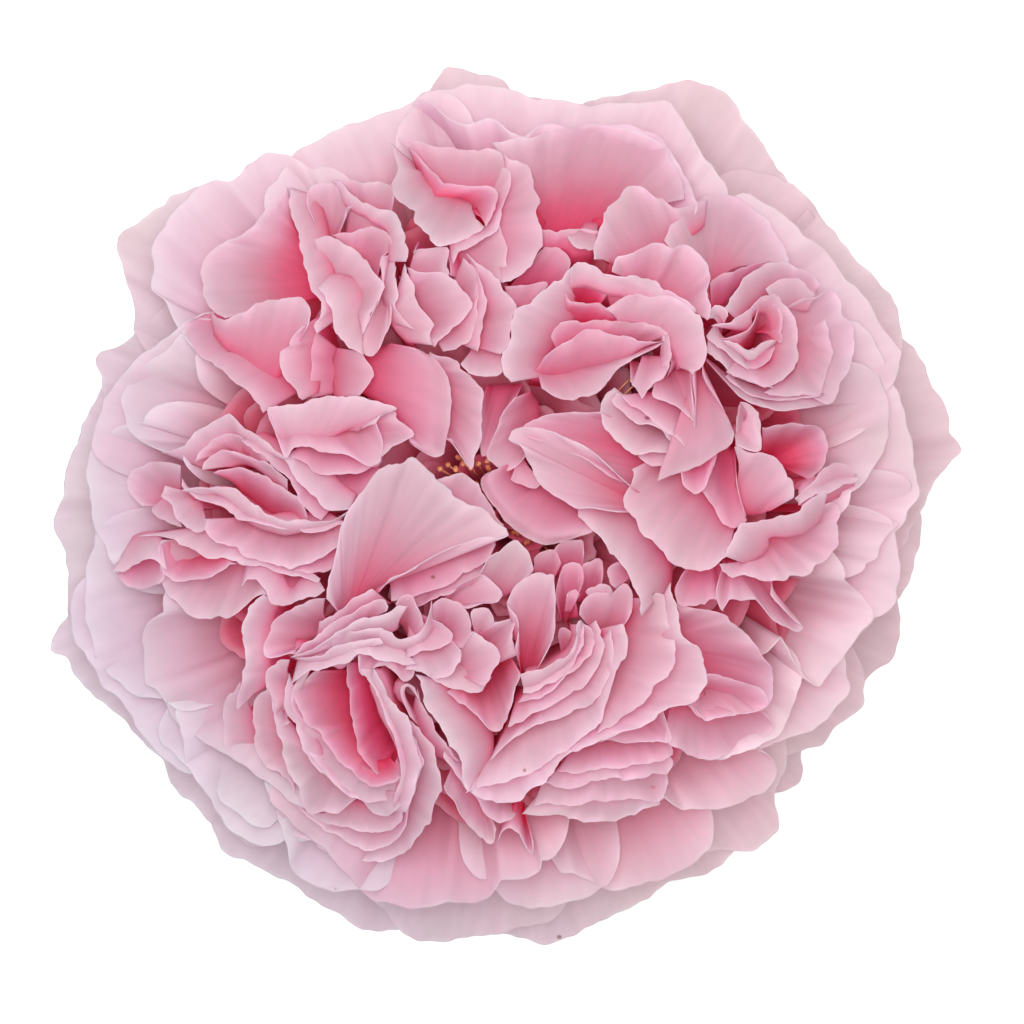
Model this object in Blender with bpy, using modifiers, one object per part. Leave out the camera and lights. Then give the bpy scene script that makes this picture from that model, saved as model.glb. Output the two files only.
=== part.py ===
"""Garden rose, a full quartered flower cut under its hip and resting on its outer petals.

Metres, +Z up. The origin lies on the surface that the flower rests on, under the
middle of its outline. Each petal is a sheet that rises from the receptacle, opens
outwards and ends at its own rim; the rims are given in plan, in millimetres.
"""
import math

import bpy
import numpy as np

MM = 0.001

# the flower
PLAN_AXIS = (-0.7, 0.45)      # the flower's axis in the plan that the rims are drawn in
DOME_RADIUS = 48.0            # radius at which the domed top comes down to its edge
DOME_BASE = 3.0               # height of the dome's edge
DOME_RISE = 38.0              # height of the dome above its edge
HEART_DIP = 3.5               # how far the heart sinks below the dome
HEART_RADIUS = 9.0
OUTER_SAG = 6.0               # how far the outermost rims sink below the dome
SAG_START = 28.0              # the sag sets in at this radius
SAG_WIDTH = 12.0              # and is full this much further out
ARCH_START = 20.0             # petals with rims inside this radius stand upright
ARCH_WIDTH = 26.0             # and arch over fully this much further out
GUARD_EDGE_HEIGHT = 1.3       # height of a guard petal's rim at the dome's edge
GUARD_SLOPE = 0.9             # its rise for each millimetre further in

# petals
PETAL_THICKNESS = 0.38
PETAL_ROWS = 6
FACET_LENGTH = 4.2            # length of a petal facet along the rim
FOOT_RADIUS = 4.1             # where the innermost tier of petals stands on the receptacle
TIER_STEP = 0.62              # distance between the feet of one tier and the next
TIER_DROP = 0.9               # each tier further out arches this much lower
MARGIN_LENGTH = 0.18          # part of the rim over which a petal's shoulder falls away
CLEARANCE = 0.05              # part of the rim left free at each end, beside the next petal
FOOT_GAP = 0.4                # room between a petal's foot and the receptacle
FIT_ROUNDS = 6                # rounds that fit a petal's section to its rim in plan
ROW_SPREAD = 0.8              # below 1, rows crowd towards the rim
CURVE_STEPS = 8               # steps of the rim's curve between two given points

# a petal's section: share of its radius and height at the two inner points of its curve
UPRIGHT_REACH = (0.90, 0.97)
ARCHED_REACH = (0.45, 0.80)
UPRIGHT_RISE = 3.0            # lower point above the foot
ARCHED_RISE = 9.0
UPRIGHT_SHARE = 0.80          # upper point as a share of the rim's height
ARCHED_CREST = 13.0           # upper point above the rim, where the petal arches over

# hip, stem and sepals
STEM_RADIUS = 2.3
STEM_HEIGHT = 2.2
HIP_BOTTOM = 2.5
RECEPTACLE_RADIUS = 9.7
RECEPTACLE_TOP = 13.0
RECEPTACLE_CURVE = 0.028      # fall of the receptacle's top, per square millimetre of radius
HIP_PROFILE = [(8.3, 9.4), (6.6, 7.4), (6.4, 5.2), (5.2, 3.4), (3.0, HIP_BOTTOM), (0.0, HIP_BOTTOM)]
GAP = 0.3
SEPAL_COUNT = 5
SEPAL_START = (8.5, 8.85)     # radius and height where a sepal leaves the hip
SEPAL_TIP_HEIGHT = 1.0
SEPAL_LENGTH = 17.0
SEPAL_WIDTH = 8.0
SEPAL_THICKNESS = 0.6
SEPAL_KEEL = 0.9              # rise of a sepal's edges beside its midrib
SEPAL_TURN = 0.25             # share of a fifth turn by which the sepals are set round

# stamens and styles at the heart
STAMEN_FOOT = 3.0             # radius of the ring's middle line
STAMEN_RING = (2.4, 3.4)      # inner and outer radius at the foot
STAMEN_TIPS = (2.6, 3.2)      # and at the top
STAMEN_TOP = 19.0
STYLE_RADIUS = 1.3
STYLE_TIP_RADIUS = 0.8
STYLE_TOP = 20.0

# share of a petal's width that is left at its foot, and how far its shoulders fall, by ring
RINGS = {
    "guard": {"foot_width": 0.35, "shoulder": 0.08},
    "outer": {"foot_width": 0.45, "shoulder": 0.08},
    "inner": {"foot_width": 0.9, "shoulder": 0.12},
}

# name, ring, tier from the heart outwards, lift of the rim, rim in plan
PETALS = [
    ("guard_petal_n", "guard", 7, 0, [
        (-10.5, 40.8), (-8.6, 42.4), (-7.3, 44.1), (-6, 44.9), (-3.5, 44.3), (-0.9, 43.5), (0.4, 42.2),
        (3.5, 41.4), (6.5, 39.5)]),
    ("guard_petal_nne", "guard", 8, -1.5, [
        (5, 40), (8.8, 41.8), (13.2, 42.5), (16.2, 43.4), (19.4, 43.4), (22.1, 41.8), (24, 38.8),
        (25.6, 36.8), (27.3, 34)]),
    ("guard_petal_ene", "guard", 7, -1, [
        (28.2, 33.2), (31, 30.2), (33.2, 27.3), (36.6, 23.6), (38.6, 21.5), (39, 19.2), (39.5, 17.2),
        (38.4, 13)]),
    ("guard_petal_e", "guard", 8, -1, [
        (40.2, 17), (41.6, 14.7), (42.6, 12.6), (43.9, 10.3), (44.3, 8.2), (45.3, 6.4), (44.6, 5.3),
        (43.4, 3.9), (42.1, 2.3), (41.7, 0.7)]),
    ("guard_petal_ese", "guard", 7, -1.5, [
        (41.2, 1), (41.1, -3), (40.5, -5.6), (39, -8.8), (36.5, -10.6)]),
    ("guard_petal_se1", "guard", 8, -6, [
        (38.4, -6), (39.1, -10), (39.1, -13.4), (38.3, -14.9), (36.7, -16), (35.4, -17.4), (32.5, -19)]),
    ("guard_petal_se2", "guard", 7, -3.5, [
        (34.2, -13.2), (35.4, -16), (35.6, -18.8), (34.7, -20.2), (32.6, -21.8), (31.5, -23.2),
        (29, -24.2), (26.5, -25)]),
    ("guard_petal_se3", "guard", 8, -7, [
        (28.6, -22.5), (29.2, -24.5), (29.4, -26.4), (28.6, -27.6), (26.8, -28.3), (25, -29)]),
    ("guard_petal_sse", "guard", 7, -0.5, [
        (26.9, -26.8), (26.5, -29.3), (26.9, -30.8), (26.6, -32.4), (25.2, -33.7), (23.9, -34.2),
        (21.8, -34.1), (19.3, -34.3), (17.4, -33.8), (15.4, -33), (13.7, -31.6), (12.2, -30.2)]),
    ("guard_petal_s1", "guard", 8, -2.5, [
        (24, -31.5), (22, -34.6), (20.8, -36), (18, -36.9), (15.3, -37.7), (12.6, -39.7), (9.6, -40.9),
        (7.4, -42.2), (4.6, -43.3), (3, -43.9), (1.4, -43), (-1.5, -42.5), (-4, -41)]),
    ("guard_petal_s2", "guard", 7, 0, [
        (3, -41.5), (-2, -42.6), (-5.5, -43.1), (-9, -43.4), (-10.6, -42.7), (-12.2, -41.2),
        (-14.2, -38.8), (-16, -36.5)]),
    ("guard_petal_ssw", "guard", 8, -1, [
        (-9.5, -41), (-11.8, -42.2), (-14.6, -42.3), (-16.7, -41.1), (-19, -39.8), (-21.5, -38.1),
        (-23.3, -37), (-26, -35.7), (-29.1, -34.2), (-30.2, -32), (-31, -29.5)]),
    ("guard_petal_sw1", "guard", 7, 0, [
        (-27.5, -33.2), (-30.3, -31.3), (-32.4, -29.3), (-33.8, -28.1), (-34.9, -26.2), (-35.5, -24.7),
        (-37.2, -23.1), (-38.5, -20.5)]),
    ("guard_petal_sw2", "guard", 8, -1, [
        (-34.5, -25.5), (-37.3, -23), (-39, -21.3), (-40.8, -19.6), (-42.8, -18.1), (-43.9, -16.9),
        (-44.9, -14.8), (-46.2, -14.3), (-46.7, -13.5), (-46.1, -12.4), (-44.7, -10), (-42.5, -6.5)]),
    ("guard_petal_w1", "guard", 7, 0, [
        (-42.8, -14.5), (-44.5, -11.5), (-44.9, -8), (-44.9, -4.5), (-46, -2.4), (-46.3, -1),
        (-45.6, 0.8), (-45.1, 3.6), (-44.3, 6.2), (-42.8, 9.8)]),
    ("guard_petal_w2", "guard", 8, -3, [
        (-43.5, -3), (-44.7, 1.5), (-44.5, 4.6), (-43.8, 7.2), (-42.5, 10.3), (-41.1, 13),
        (-39.4, 15.4), (-37.2, 17)]),
    ("guard_petal_wnw", "guard", 7, -1, [
        (-41, 10.5), (-41.4, 13), (-41.9, 15), (-41.5, 16.1), (-39.8, 16.7), (-37.8, 18.2), (-36, 20)]),
    ("guard_petal_nw1", "guard", 8, -1, [
        (-38.1, 18.5), (-38.1, 20.5), (-38.7, 22.8), (-39.5, 25), (-39.9, 27.3), (-39, 28.6),
        (-36.8, 30), (-35.5, 30.8), (-34.4, 32), (-33, 32.4), (-31, 32.8), (-28, 32)]),
    ("outer_petal_nw", "outer", 6, 0, [
        (-33.8, 18.8), (-34.7, 21.1), (-36.4, 22.6), (-35.9, 24.8), (-36.3, 26.8), (-34.9, 28.9),
        (-33.1, 31.4), (-30.5, 33.2), (-28, 33.5), (-26.4, 34.9), (-24.6, 36.2), (-22.5, 35.8),
        (-20, 34.5)]),
    ("outer_petal_nnw", "outer", 5, 0, [
        (-24, 33), (-22.4, 35.3), (-20.8, 36.7), (-18, 38.2), (-15, 39.4), (-12.3, 40.2),
        (-10.3, 41.1), (-9.3, 42)]),
    ("crown_petal_n1", "outer", 6, 0, [
        (-9.8, 40.5), (-8.6, 42.2), (-6, 42.6), (-3.5, 43.1), (-1, 42.7), (2, 41.7), (5, 41.3),
        (8.3, 40.9), (10.5, 41.1), (15.5, 41.3), (16.4, 40.8), (17, 39.7), (18.4, 37.2), (19.8, 35),
        (20.8, 33.6)]),
    ("crown_petal_n2", "outer", 4.5, 1, [
        (-6, 39.3), (-4, 39), (-2, 39.5), (0, 38), (1.2, 37.6), (3, 38.9), (6, 38.6), (9, 38.9),
        (12, 38.4), (14.5, 37.4), (16.2, 35.8), (17.3, 33.8), (18.5, 31.3)]),
    ("outer_petal_ene", "outer", 5, 0, [
        (24.5, 31.5), (26.6, 30.4), (29, 28.2), (31.5, 26.2), (34, 23), (36, 21), (37.5, 18),
        (39.1, 16.5), (38.9, 14.8), (38.2, 12.8)]),
    ("outer_petal_e1", "outer", 6, 0, [
        (38.2, 13.2), (39.3, 10.5), (39.9, 8.3), (40.2, 6.2), (40.5, 4.5), (40.9, 2), (39.8, 0)]),
    ("outer_petal_e2", "outer", 4, 0, [
        (37, 13.5), (37.9, 10), (37.6, 7.2), (36.7, 5), (35.4, 3.2)]),
    ("outer_petal_se1", "outer", 5, 0, [
        (33.2, -6.8), (35, -8.2), (36.1, -9.8), (36, -11), (34.4, -12.9), (33, -14.7), (31.4, -16.9),
        (30.5, -17.4), (29.3, -16.5), (28, -14.5), (26.8, -12.5)]),
    ("outer_petal_se2", "outer", 6, -2, [
        (33.5, -14), (33.6, -16.4), (33.9, -17.8), (33, -19.3), (31.5, -20.8), (30, -22),
        (28.3, -22.6), (26.3, -23)]),
    ("outer_petal_sse", "outer", 5, -2, [
        (24.6, -23.8), (25.6, -24.3), (26.4, -25.2), (26.7, -26.1), (26.2, -27.1), (25.3, -28),
        (23.7, -28.9), (22.3, -29.4), (20.3, -29.8), (18, -29.9), (16.5, -29.5), (15.3, -28.6)]),
    ("outer_petal_s1", "outer", 6, -2, [
        (19.3, -34.2), (18, -35.6), (15.8, -36.6), (13, -37.5), (10.4, -38), (8.3, -37.4),
        (6.3, -36.3), (4.9, -36.1), (4, -34.9), (2.6, -34.4)]),
    ("outer_petal_s2", "outer", 5, -0.5, [
        (3, -34.9), (2.6, -36.2), (1, -36.9), (-0.9, -36.7), (-1.6, -37.9), (-3, -39.1), (-5.5, -39.2),
        (-8, -39.6), (-10.5, -39.8), (-12.6, -39.3), (-14.5, -38.6), (-16.2, -36.9), (-18.2, -34.5),
        (-20.8, -32.3), (-23.4, -30)]),
    ("outer_petal_sw1", "outer", 6, 0, [
        (-23.4, -30.8), (-24.5, -31.7), (-26, -31.4), (-27.6, -30.4), (-28.9, -29.3), (-29.9, -28),
        (-31.6, -26.7), (-32.6, -25.3), (-33, -23.4), (-33.4, -21.5)]),
    ("outer_petal_sw2", "outer", 4.5, 0, [
        (-21.3, -29.4), (-22.3, -29), (-23.8, -27.8), (-25, -26.7), (-26.5, -25.7), (-28, -24.8),
        (-30, -23.5), (-31.6, -22.8), (-33.4, -21.5), (-35, -19), (-35.8, -17.8), (-36.8, -17.1),
        (-37, -15), (-37, -12.5), (-36.4, -11), (-34.9, -10)]),
    ("outer_petal_w1", "outer", 6, 0, [
        (-35, -18.8), (-37.5, -18.5), (-39.5, -17.3), (-41, -15.9), (-41.9, -14.4), (-42.7, -11.5),
        (-43, -8.5), (-42.7, -5.5), (-42, -3)]),
    ("outer_petal_w2", "outer", 5.2, -0.5, [
        (-39.5, -6), (-41, -3.5), (-41.9, -1.5), (-42.3, 0.5), (-42.7, 3.5), (-42.5, 6.1), (-41, 7),
        (-40, 8.2), (-38.7, 8.9), (-37, 9)]),
    ("outer_petal_wnw", "outer", 4, -0.5, [
        (-32.8, 6.6), (-34.5, 6), (-36.5, 6.8), (-38.4, 8), (-39, 10), (-39.1, 12), (-38.1, 14),
        (-36, 15.3)]),
    ("fold_petal_nw1", "inner", 3, 1, [
        (-24.8, 10), (-26.2, 11.5), (-28, 13.3), (-30, 15), (-31.8, 16.6), (-32.6, 18.4),
        (-32.4, 20.8), (-31.4, 23.6), (-31.6, 25.5)]),
    ("fold_petal_nw2", "inner", 2, 0.5, [
        (-22.3, 34.8), (-22.4, 32.5), (-21.9, 29.3), (-21.2, 27), (-20.8, 25), (-20.3, 23),
        (-19.3, 21.4), (-19, 20.2), (-19.6, 18.9)]),
    ("pocket_petal_n", "inner", 3, 1, [
        (-6.5, 37), (-4.5, 36.4), (-2, 36.3), (0.3, 35.3), (1.7, 34.3), (2.2, 32.5), (2.5, 30.5),
        (3.1, 28)]),
    ("wave_petal_ne", "inner", 2.8, 0.3, [
        (8.4, 27.8), (9.2, 29.2), (9.3, 30.4), (10.3, 31.5), (11, 32.3), (12, 32.7), (13.3, 32.6),
        (14, 31.8), (15, 31.3), (16.2, 30.6), (17.5, 30.6), (19.3, 31.1), (20.5, 31.9), (21.6, 32.6),
        (23.5, 31.5), (25, 30)]),
    ("hood_petal_ne", "inner", 1, 0, [
        (1.6, 10.2), (0.8, 11.8), (-0.2, 13.2), (-0.9, 14.8), (-0.6, 16.2), (0, 17.8), (0.1, 19.5),
        (0.8, 20.5), (2, 21.5), (3, 22.7), (4.7, 23.8), (6, 24.6), (8, 24.5), (10, 23.4), (12, 23.4),
        (14, 22.9), (15.3, 22.1), (16.8, 21.5)]),
    ("swirl_petal_ne", "inner", 2, 0, [
        (19.5, 19.3), (20.4, 18.6), (21.6, 19), (22.9, 20), (23.9, 21.2), (25, 22.2), (26.6, 23.2),
        (28.3, 23.3), (30.4, 21.8), (31.6, 22.4), (32.6, 22.2), (32.9, 20.8), (33.9, 19.5),
        (34.3, 18.2), (34.4, 16.3), (33.9, 14.3), (33.2, 12.4), (32.4, 11.2), (31.4, 11.1)]),
    ("fan_petal_e1", "inner", 2, 0, [
        (21, -5.5), (21.4, -6.3), (23, -6.3), (25, -6.7), (26.8, -6.9), (28, -6.3), (29.5, -6.2),
        (30.8, -5.3), (32, -4.3), (32.7, -2.8), (32.4, -1.5), (32.7, -0.3), (32.4, 0.7), (31.3, 0.7)]),
    ("fan_petal_e2", "inner", 1, 0, [
        (13, 5.1), (12.3, 4.1), (11.8, 3), (11.2, 2), (11.2, 1), (11.9, 0), (12.7, -1.2), (13.5, -2.3),
        (14.5, -3.4), (15.7, -4.7), (17, -5.7), (18.5, -5.9), (20, -5.6), (21.2, -5)]),
    ("cupped_petal_se", "inner", 3, -1, [
        (16.5, -9.2), (18.5, -9.5), (20.5, -10), (22, -10.8), (23.5, -12), (25, -13.5), (26, -15.5),
        (26.3, -17.5), (25.8, -19.3), (24.8, -19.9), (23.3, -20), (22, -20.3), (20.5, -20.6),
        (19.3, -20.8), (18.5, -20), (17.5, -19.2)]),
    ("strap_petal_s", "inner", 3, -2, [
        (-0.5, -29.7), (2, -30.2), (6, -30.5), (8.5, -31), (11, -30.6), (13, -30), (15, -29),
        (15.7, -27.5), (15.4, -26)]),
    ("rosette_petal_s", "inner", 0, 0, [
        (13.3, -2.8), (14.8, -4.3), (15.9, -5.5), (16, -8), (16.6, -10.3), (17.5, -12.8),
        (18.5, -13.4), (19, -15), (19.3, -16.8), (18.6, -18.6), (17.3, -19.2), (15, -19.7),
        (12.5, -21.3), (9.5, -22.3), (6.8, -23.5), (5.4, -24), (4, -25.8), (2.8, -27), (0.9, -28.8),
        (-1, -28.9), (-2.2, -29.1), (-3.4, -28.2)]),
    ("tongue_petal_w", "tongue", 0, 0, [
        (-16.2, -2), (-15.3, 0.8), (-13.6, 3.2), (-12.5, 4.7), (-10.3, 5.3), (-9, 4.6), (-7.4, 3.1),
        (-5.2, 1.4), (-3.4, 0.3), (-2, -0.6), (-1.2, -1.8), (-2.2, -2.7)]),
    ("swirl_petal_w1", "inner", 1, 0, [
        (-32.8, 6.8), (-31.7, 8.2), (-30.5, 8.9), (-28.3, 9.6), (-27, 8.8), (-25.5, 7.1), (-24.3, 5.7),
        (-22.8, 4.2), (-21, 2.6), (-19, 1), (-17, 0.3)]),
    ("swirl_petal_w2", "inner", 2, 0, [
        (-33.8, 0.3), (-33.2, -1), (-32.3, -1.8), (-31.2, -2), (-30.3, -1.8), (-29.2, -2.9),
        (-27.5, -3.7), (-26, -4.3), (-24, -4.6), (-22, -4.6), (-20.5, -4.2), (-19.5, -3.8),
        (-18, -2.9), (-17, -2.3)]),
    ("cup_petal_sw2", "inner", 2, 1, [
        (-11.3, -28.6), (-12.3, -29.9), (-13.5, -30.3), (-14.6, -29.3), (-15.8, -28.7), (-17, -27.8),
        (-18.5, -26), (-20, -24.3), (-21, -22.6), (-21.5, -21), (-22.4, -20), (-22.7, -18.5)]),
    ("cup_petal_sw1", "inner", 3, 1, [
        (-7.2, -27), (-7.6, -28.9), (-8, -30.7), (-9, -32), (-10.2, -33.5), (-12, -34.6), (-14, -35.1),
        (-15.7, -34.5), (-17.8, -34.2), (-19.6, -33.4), (-21.8, -32), (-23.6, -30)]),]

# the line where the leaning tongue leaves the wall of petals behind it, and its height there
TONGUE_ROOT = [(-16.9, -2.4), (-17.6, -8.6)]
TONGUE_ROOT_HEIGHT = 37.0
TONGUE_TIP_HEIGHT = 37.5
TONGUE_TIP_RISE = 1.5         # the margin is this much higher next to the axis
TONGUE_SWELL = 4.0            # rise of the blade's middle above a flat one
TONGUE_COLUMNS = 11
TONGUE_WALL_ROWS = 4
TONGUE_BLADE_ROWS = 5

MATERIALS = {
    "guard": ((0.82, 0.60, 0.63), 0.55),
    "outer": ((0.83, 0.58, 0.66), 0.55),
    "inner": ((0.78, 0.42, 0.53), 0.55),
    "tongue": ((0.84, 0.56, 0.65), 0.5),
    "green": ((0.16, 0.27, 0.08), 0.6),
    "stamens": ((0.55, 0.30, 0.06), 0.7),
    "styles": ((0.62, 0.52, 0.25), 0.7),
}


def smooth(x):
    """Ease from 0 to 1 with level ends."""
    x = np.clip(x, 0.0, 1.0)
    return x * x * (3.0 - 2.0 * x)


def mix(a, b, share):
    return a + (b - a) * share


def dome(radius):
    """Height of the flower's domed top: an ellipse with a sunken heart and sagging edge."""
    inside = np.clip(1.0 - (radius / DOME_RADIUS) ** 2, 0.0, 1.0)
    heart = HEART_DIP * np.exp(-(radius / HEART_RADIUS) ** 2)
    sag = OUTER_SAG * smooth((radius - SAG_START) / SAG_WIDTH)
    return DOME_BASE + DOME_RISE * np.sqrt(inside) - heart - sag


def rim_height(ring, radius, lift):
    """Height of a rim: guard petals come down near the surface, the others follow the dome."""
    if ring == "guard":
        return GUARD_EDGE_HEIGHT + GUARD_SLOPE * np.maximum(DOME_RADIUS - radius, 0.0) + lift
    return dome(radius) + lift


def receptacle_height(radius):
    """Height of the receptacle's rounded top."""
    return RECEPTACLE_TOP - RECEPTACLE_CURVE * radius ** 2


def section(radius, height, tier):
    """Bezier points of a petal's section, as shares of the radius and heights.

    Near the heart a petal stands upright; further out it arches over and comes down.
    """
    arch = smooth((radius - ARCH_START) / ARCH_WIDTH)
    foot = FOOT_RADIUS + TIER_STEP * tier
    foot_height = receptacle_height(foot) + FOOT_GAP
    low, high = [mix(up, over, arch) for up, over in zip(UPRIGHT_REACH, ARCHED_REACH)]
    shares = [foot / radius, low, high, np.ones_like(radius)]
    rise = mix(UPRIGHT_RISE, ARCHED_RISE, arch) - TIER_DROP * tier
    crest = mix(UPRIGHT_SHARE * height, height + ARCHED_CREST, arch) - TIER_DROP * tier
    heights = [foot_height, foot_height + rise, crest, height]
    return shares, heights


def bezier(points, t):
    a, b, c, d = points
    return a * (1 - t) ** 3 + 3 * b * t * (1 - t) ** 2 + 3 * c * t ** 2 * (1 - t) + d * t ** 3


def spline(points, count):
    """Points at even spacing along a Catmull-Rom curve through the given points."""
    given = np.array(points, dtype=float)
    ends = np.vstack([2 * given[0] - given[1], given, 2 * given[-1] - given[-2]])
    t = np.linspace(0.0, 1.0, CURVE_STEPS + 1)[:-1, None]
    fine = []
    for i in range(1, len(ends) - 2):
        a, b, c, d = ends[i - 1:i + 3]
        fine.append(0.5 * (2 * b + (c - a) * t + (2 * a - 5 * b + 4 * c - d) * t ** 2
                           + (3 * b - a - 3 * c + d) * t ** 3))
    fine = np.vstack(fine + [given[-1:]])
    steps = np.r_[0.0, np.cumsum(np.linalg.norm(np.diff(fine, axis=0), axis=1))]
    even = np.linspace(CLEARANCE, 1.0 - CLEARANCE, count) * steps[-1]
    return np.column_stack([np.interp(even, steps, fine[:, k]) for k in range(2)])


def rim_length(points):
    return float(np.linalg.norm(np.diff(np.array(points), axis=0), axis=1).sum())


def petal_grid(ring, tier, lift, rim):
    """Grid of points over a petal, columns along its rim and rows up from its foot."""
    shape = RINGS[ring]
    columns = max(5, round(rim_length(rim) / FACET_LENGTH)) + 1
    plan = spline(rim, columns) - PLAN_AXIS
    radius = np.hypot(plan[:, 0], plan[:, 1])
    angle = np.unwrap(np.arctan2(plan[:, 1], plan[:, 0]))

    along = np.linspace(0.0, 1.0, columns)
    end = smooth(np.minimum(along, 1.0 - along) / MARGIN_LENGTH)
    top = 1.0 - shape["shoulder"] * (1.0 - end)
    layer = radius.copy()
    for _ in range(FIT_ROUNDS):
        shares, heights = section(layer, rim_height(ring, layer, lift), tier)
        layer = radius / bezier(shares, top)
    shares, heights = section(layer, rim_height(ring, layer, lift), tier)

    rows = np.linspace(0.0, 1.0, PETAL_ROWS)[:, None] ** ROW_SPREAD
    t = rows * top
    reach = bezier(shares, t) * layer
    height = bezier(heights, t)
    width = mix(shape["foot_width"], 1.0, smooth(rows))
    middle = 0.5 * (angle[0] + angle[-1])
    turned = middle + (angle - middle) * width
    return np.stack([reach * np.cos(turned), reach * np.sin(turned), height], axis=-1)


def tongue_grid(tier, rim):
    """Grid over the leaning tongue: up from its foot to the root line, then over to its margin."""
    margin = spline(rim, TONGUE_COLUMNS) - PLAN_AXIS
    root = spline(TONGUE_ROOT, TONGUE_COLUMNS) - PLAN_AXIS
    radius = np.hypot(root[:, 0], root[:, 1])
    foot_radius = FOOT_RADIUS + TIER_STEP * tier
    foot = root * (foot_radius / radius)[:, None]
    foot_height = receptacle_height(foot_radius) + FOOT_GAP
    tip = smooth(1.0 - np.hypot(margin[:, 0], margin[:, 1]) / float(radius.max()))

    low = np.linspace(0.0, 1.0, TONGUE_WALL_ROWS)[:, None, None]
    high = np.linspace(0.0, 1.0, TONGUE_BLADE_ROWS + 1)[1:, None, None]
    wall = mix(foot[None], root[None], low ** 0.7)
    wall_height = mix(foot_height, TONGUE_ROOT_HEIGHT, low[..., 0])
    blade = mix(root[None], margin[None], high)
    across = np.sin(math.pi * np.linspace(0.1, 0.9, TONGUE_COLUMNS))
    swell = TONGUE_SWELL * np.sin(math.pi * high[..., 0] ** ROW_SPREAD) * across
    tip_height = TONGUE_TIP_HEIGHT + TONGUE_TIP_RISE * tip
    blade_height = mix(TONGUE_ROOT_HEIGHT, tip_height, high[..., 0]) + swell
    plan = np.concatenate([wall, blade])
    height = np.concatenate([wall_height * np.ones(TONGUE_COLUMNS), blade_height])
    return np.concatenate([plan, height[..., None]], axis=-1)


def new_object(name, mesh, kind, collection):
    obj = bpy.data.objects.new(name, mesh)
    collection.objects.link(obj)
    mesh.materials.append(bpy.data.materials[kind])
    return obj


def sheet(name, grid, thickness, kind, collection):
    """An open surface over a grid of points in millimetres, given its thickness by Solidify."""
    rows, columns = grid.shape[:2]
    mesh = bpy.data.meshes.new(name)
    faces = []
    for i in range(rows - 1):
        for j in range(columns - 1):
            a = i * columns + j
            faces.append((a, a + 1, a + columns + 1, a + columns))
    mesh.from_pydata((grid.reshape(-1, 3) * MM).tolist(), [], faces)
    mesh.update()
    mesh.shade_smooth()
    obj = new_object(name, mesh, kind, collection)
    solid = obj.modifiers.new("thickness", "SOLIDIFY")
    solid.thickness = thickness * MM
    solid.offset = 0.0
    return obj


def turned(name, profile, steps, kind, collection):
    """A closed profile of (radius, height) points in millimetres, turned round the axis."""
    mesh = bpy.data.meshes.new(name)
    points = [(r * MM, 0.0, z * MM) for r, z in profile]
    edges = [(i, i + 1) for i in range(len(points) - 1)]
    if profile[0][0] > 0.0:
        edges.append((len(points) - 1, 0))
    mesh.from_pydata(points, edges, [])
    obj = new_object(name, mesh, kind, collection)
    screw = obj.modifiers.new("turn", "SCREW")
    screw.steps = steps
    screw.render_steps = steps
    screw.use_merge_vertices = True
    screw.merge_threshold = 0.00001
    return obj


def add_sepal(number, collection):
    """A pointed green leaf that leaves the hip and bends back to the surface."""
    across = np.linspace(-1.0, 1.0, 5)
    along = np.linspace(0.0, 1.0, 7)[:, None]
    half = 0.5 * SEPAL_WIDTH * (1.0 - along ** 1.6) * mix(0.75, 1.0, smooth(along * 4.0)) + 0.25
    reach = SEPAL_START[0] + SEPAL_LENGTH * along
    height = mix(SEPAL_START[1], SEPAL_TIP_HEIGHT, along ** 1.4)
    keel = SEPAL_KEEL * across ** 2 * along * (1.0 - along)
    side = half * across
    turn = 2.0 * math.pi * (number + SEPAL_TURN) / SEPAL_COUNT
    x = reach * math.cos(turn) - side * math.sin(turn)
    y = reach * math.sin(turn) + side * math.cos(turn)
    grid = np.stack([x, y, height + keel], axis=-1)
    return sheet(f"sepal_{number + 1}", grid, SEPAL_THICKNESS, "green", collection)


def add_materials():
    for name, (colour, roughness) in MATERIALS.items():
        material = bpy.data.materials.new(name)
        material.use_nodes = True
        shader = material.node_tree.nodes["Principled BSDF"]
        shader.inputs["Base Color"].default_value = (*colour, 1.0)
        shader.inputs["Roughness"].default_value = roughness
        shader.inputs["Metallic"].default_value = 0.0


def main():
    for obj in list(bpy.data.objects):
        bpy.data.objects.remove(obj)
    flower = bpy.data.collections.new("garden_rose")
    bpy.context.scene.collection.children.link(flower)
    add_materials()

    stem = [(0.0, STEM_HEIGHT), (STEM_RADIUS, STEM_HEIGHT), (STEM_RADIUS, 0.0), (0.0, 0.0)]
    turned("stem_stub", stem, 16, "green", flower)
    top = [(r, receptacle_height(r)) for r in (0.0, 3.0, 6.0, RECEPTACLE_RADIUS)]
    turned("rose_hip", top + HIP_PROFILE, 24, "green", flower)
    for number in range(SEPAL_COUNT):
        add_sepal(number, flower)

    ring_foot = receptacle_height(STAMEN_FOOT) + GAP
    stamens = [(STAMEN_RING[0], ring_foot), (STAMEN_TIPS[0], STAMEN_TOP),
               (STAMEN_TIPS[1], STAMEN_TOP), (STAMEN_RING[1], ring_foot)]
    turned("stamen_ring", stamens, 20, "stamens", flower)
    style_foot = RECEPTACLE_TOP + GAP
    styles = [(0.0, STYLE_TOP), (STYLE_TIP_RADIUS, STYLE_TOP), (STYLE_RADIUS, style_foot), (0.0, style_foot)]
    turned("style_column", styles, 12, "styles", flower)

    for name, ring, tier, lift, rim in PETALS:
        grid = tongue_grid(tier, rim) if ring == "tongue" else petal_grid(ring, tier, lift, rim)
        sheet(name, grid, PETAL_THICKNESS, ring, flower)


main()
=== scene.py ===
# Garden rose: every petal is a thin sheet that climbs from the hip and opens out to its own rim.
# Rims are given as seen from above, in millimetres; scene units are metres.
import math

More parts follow.
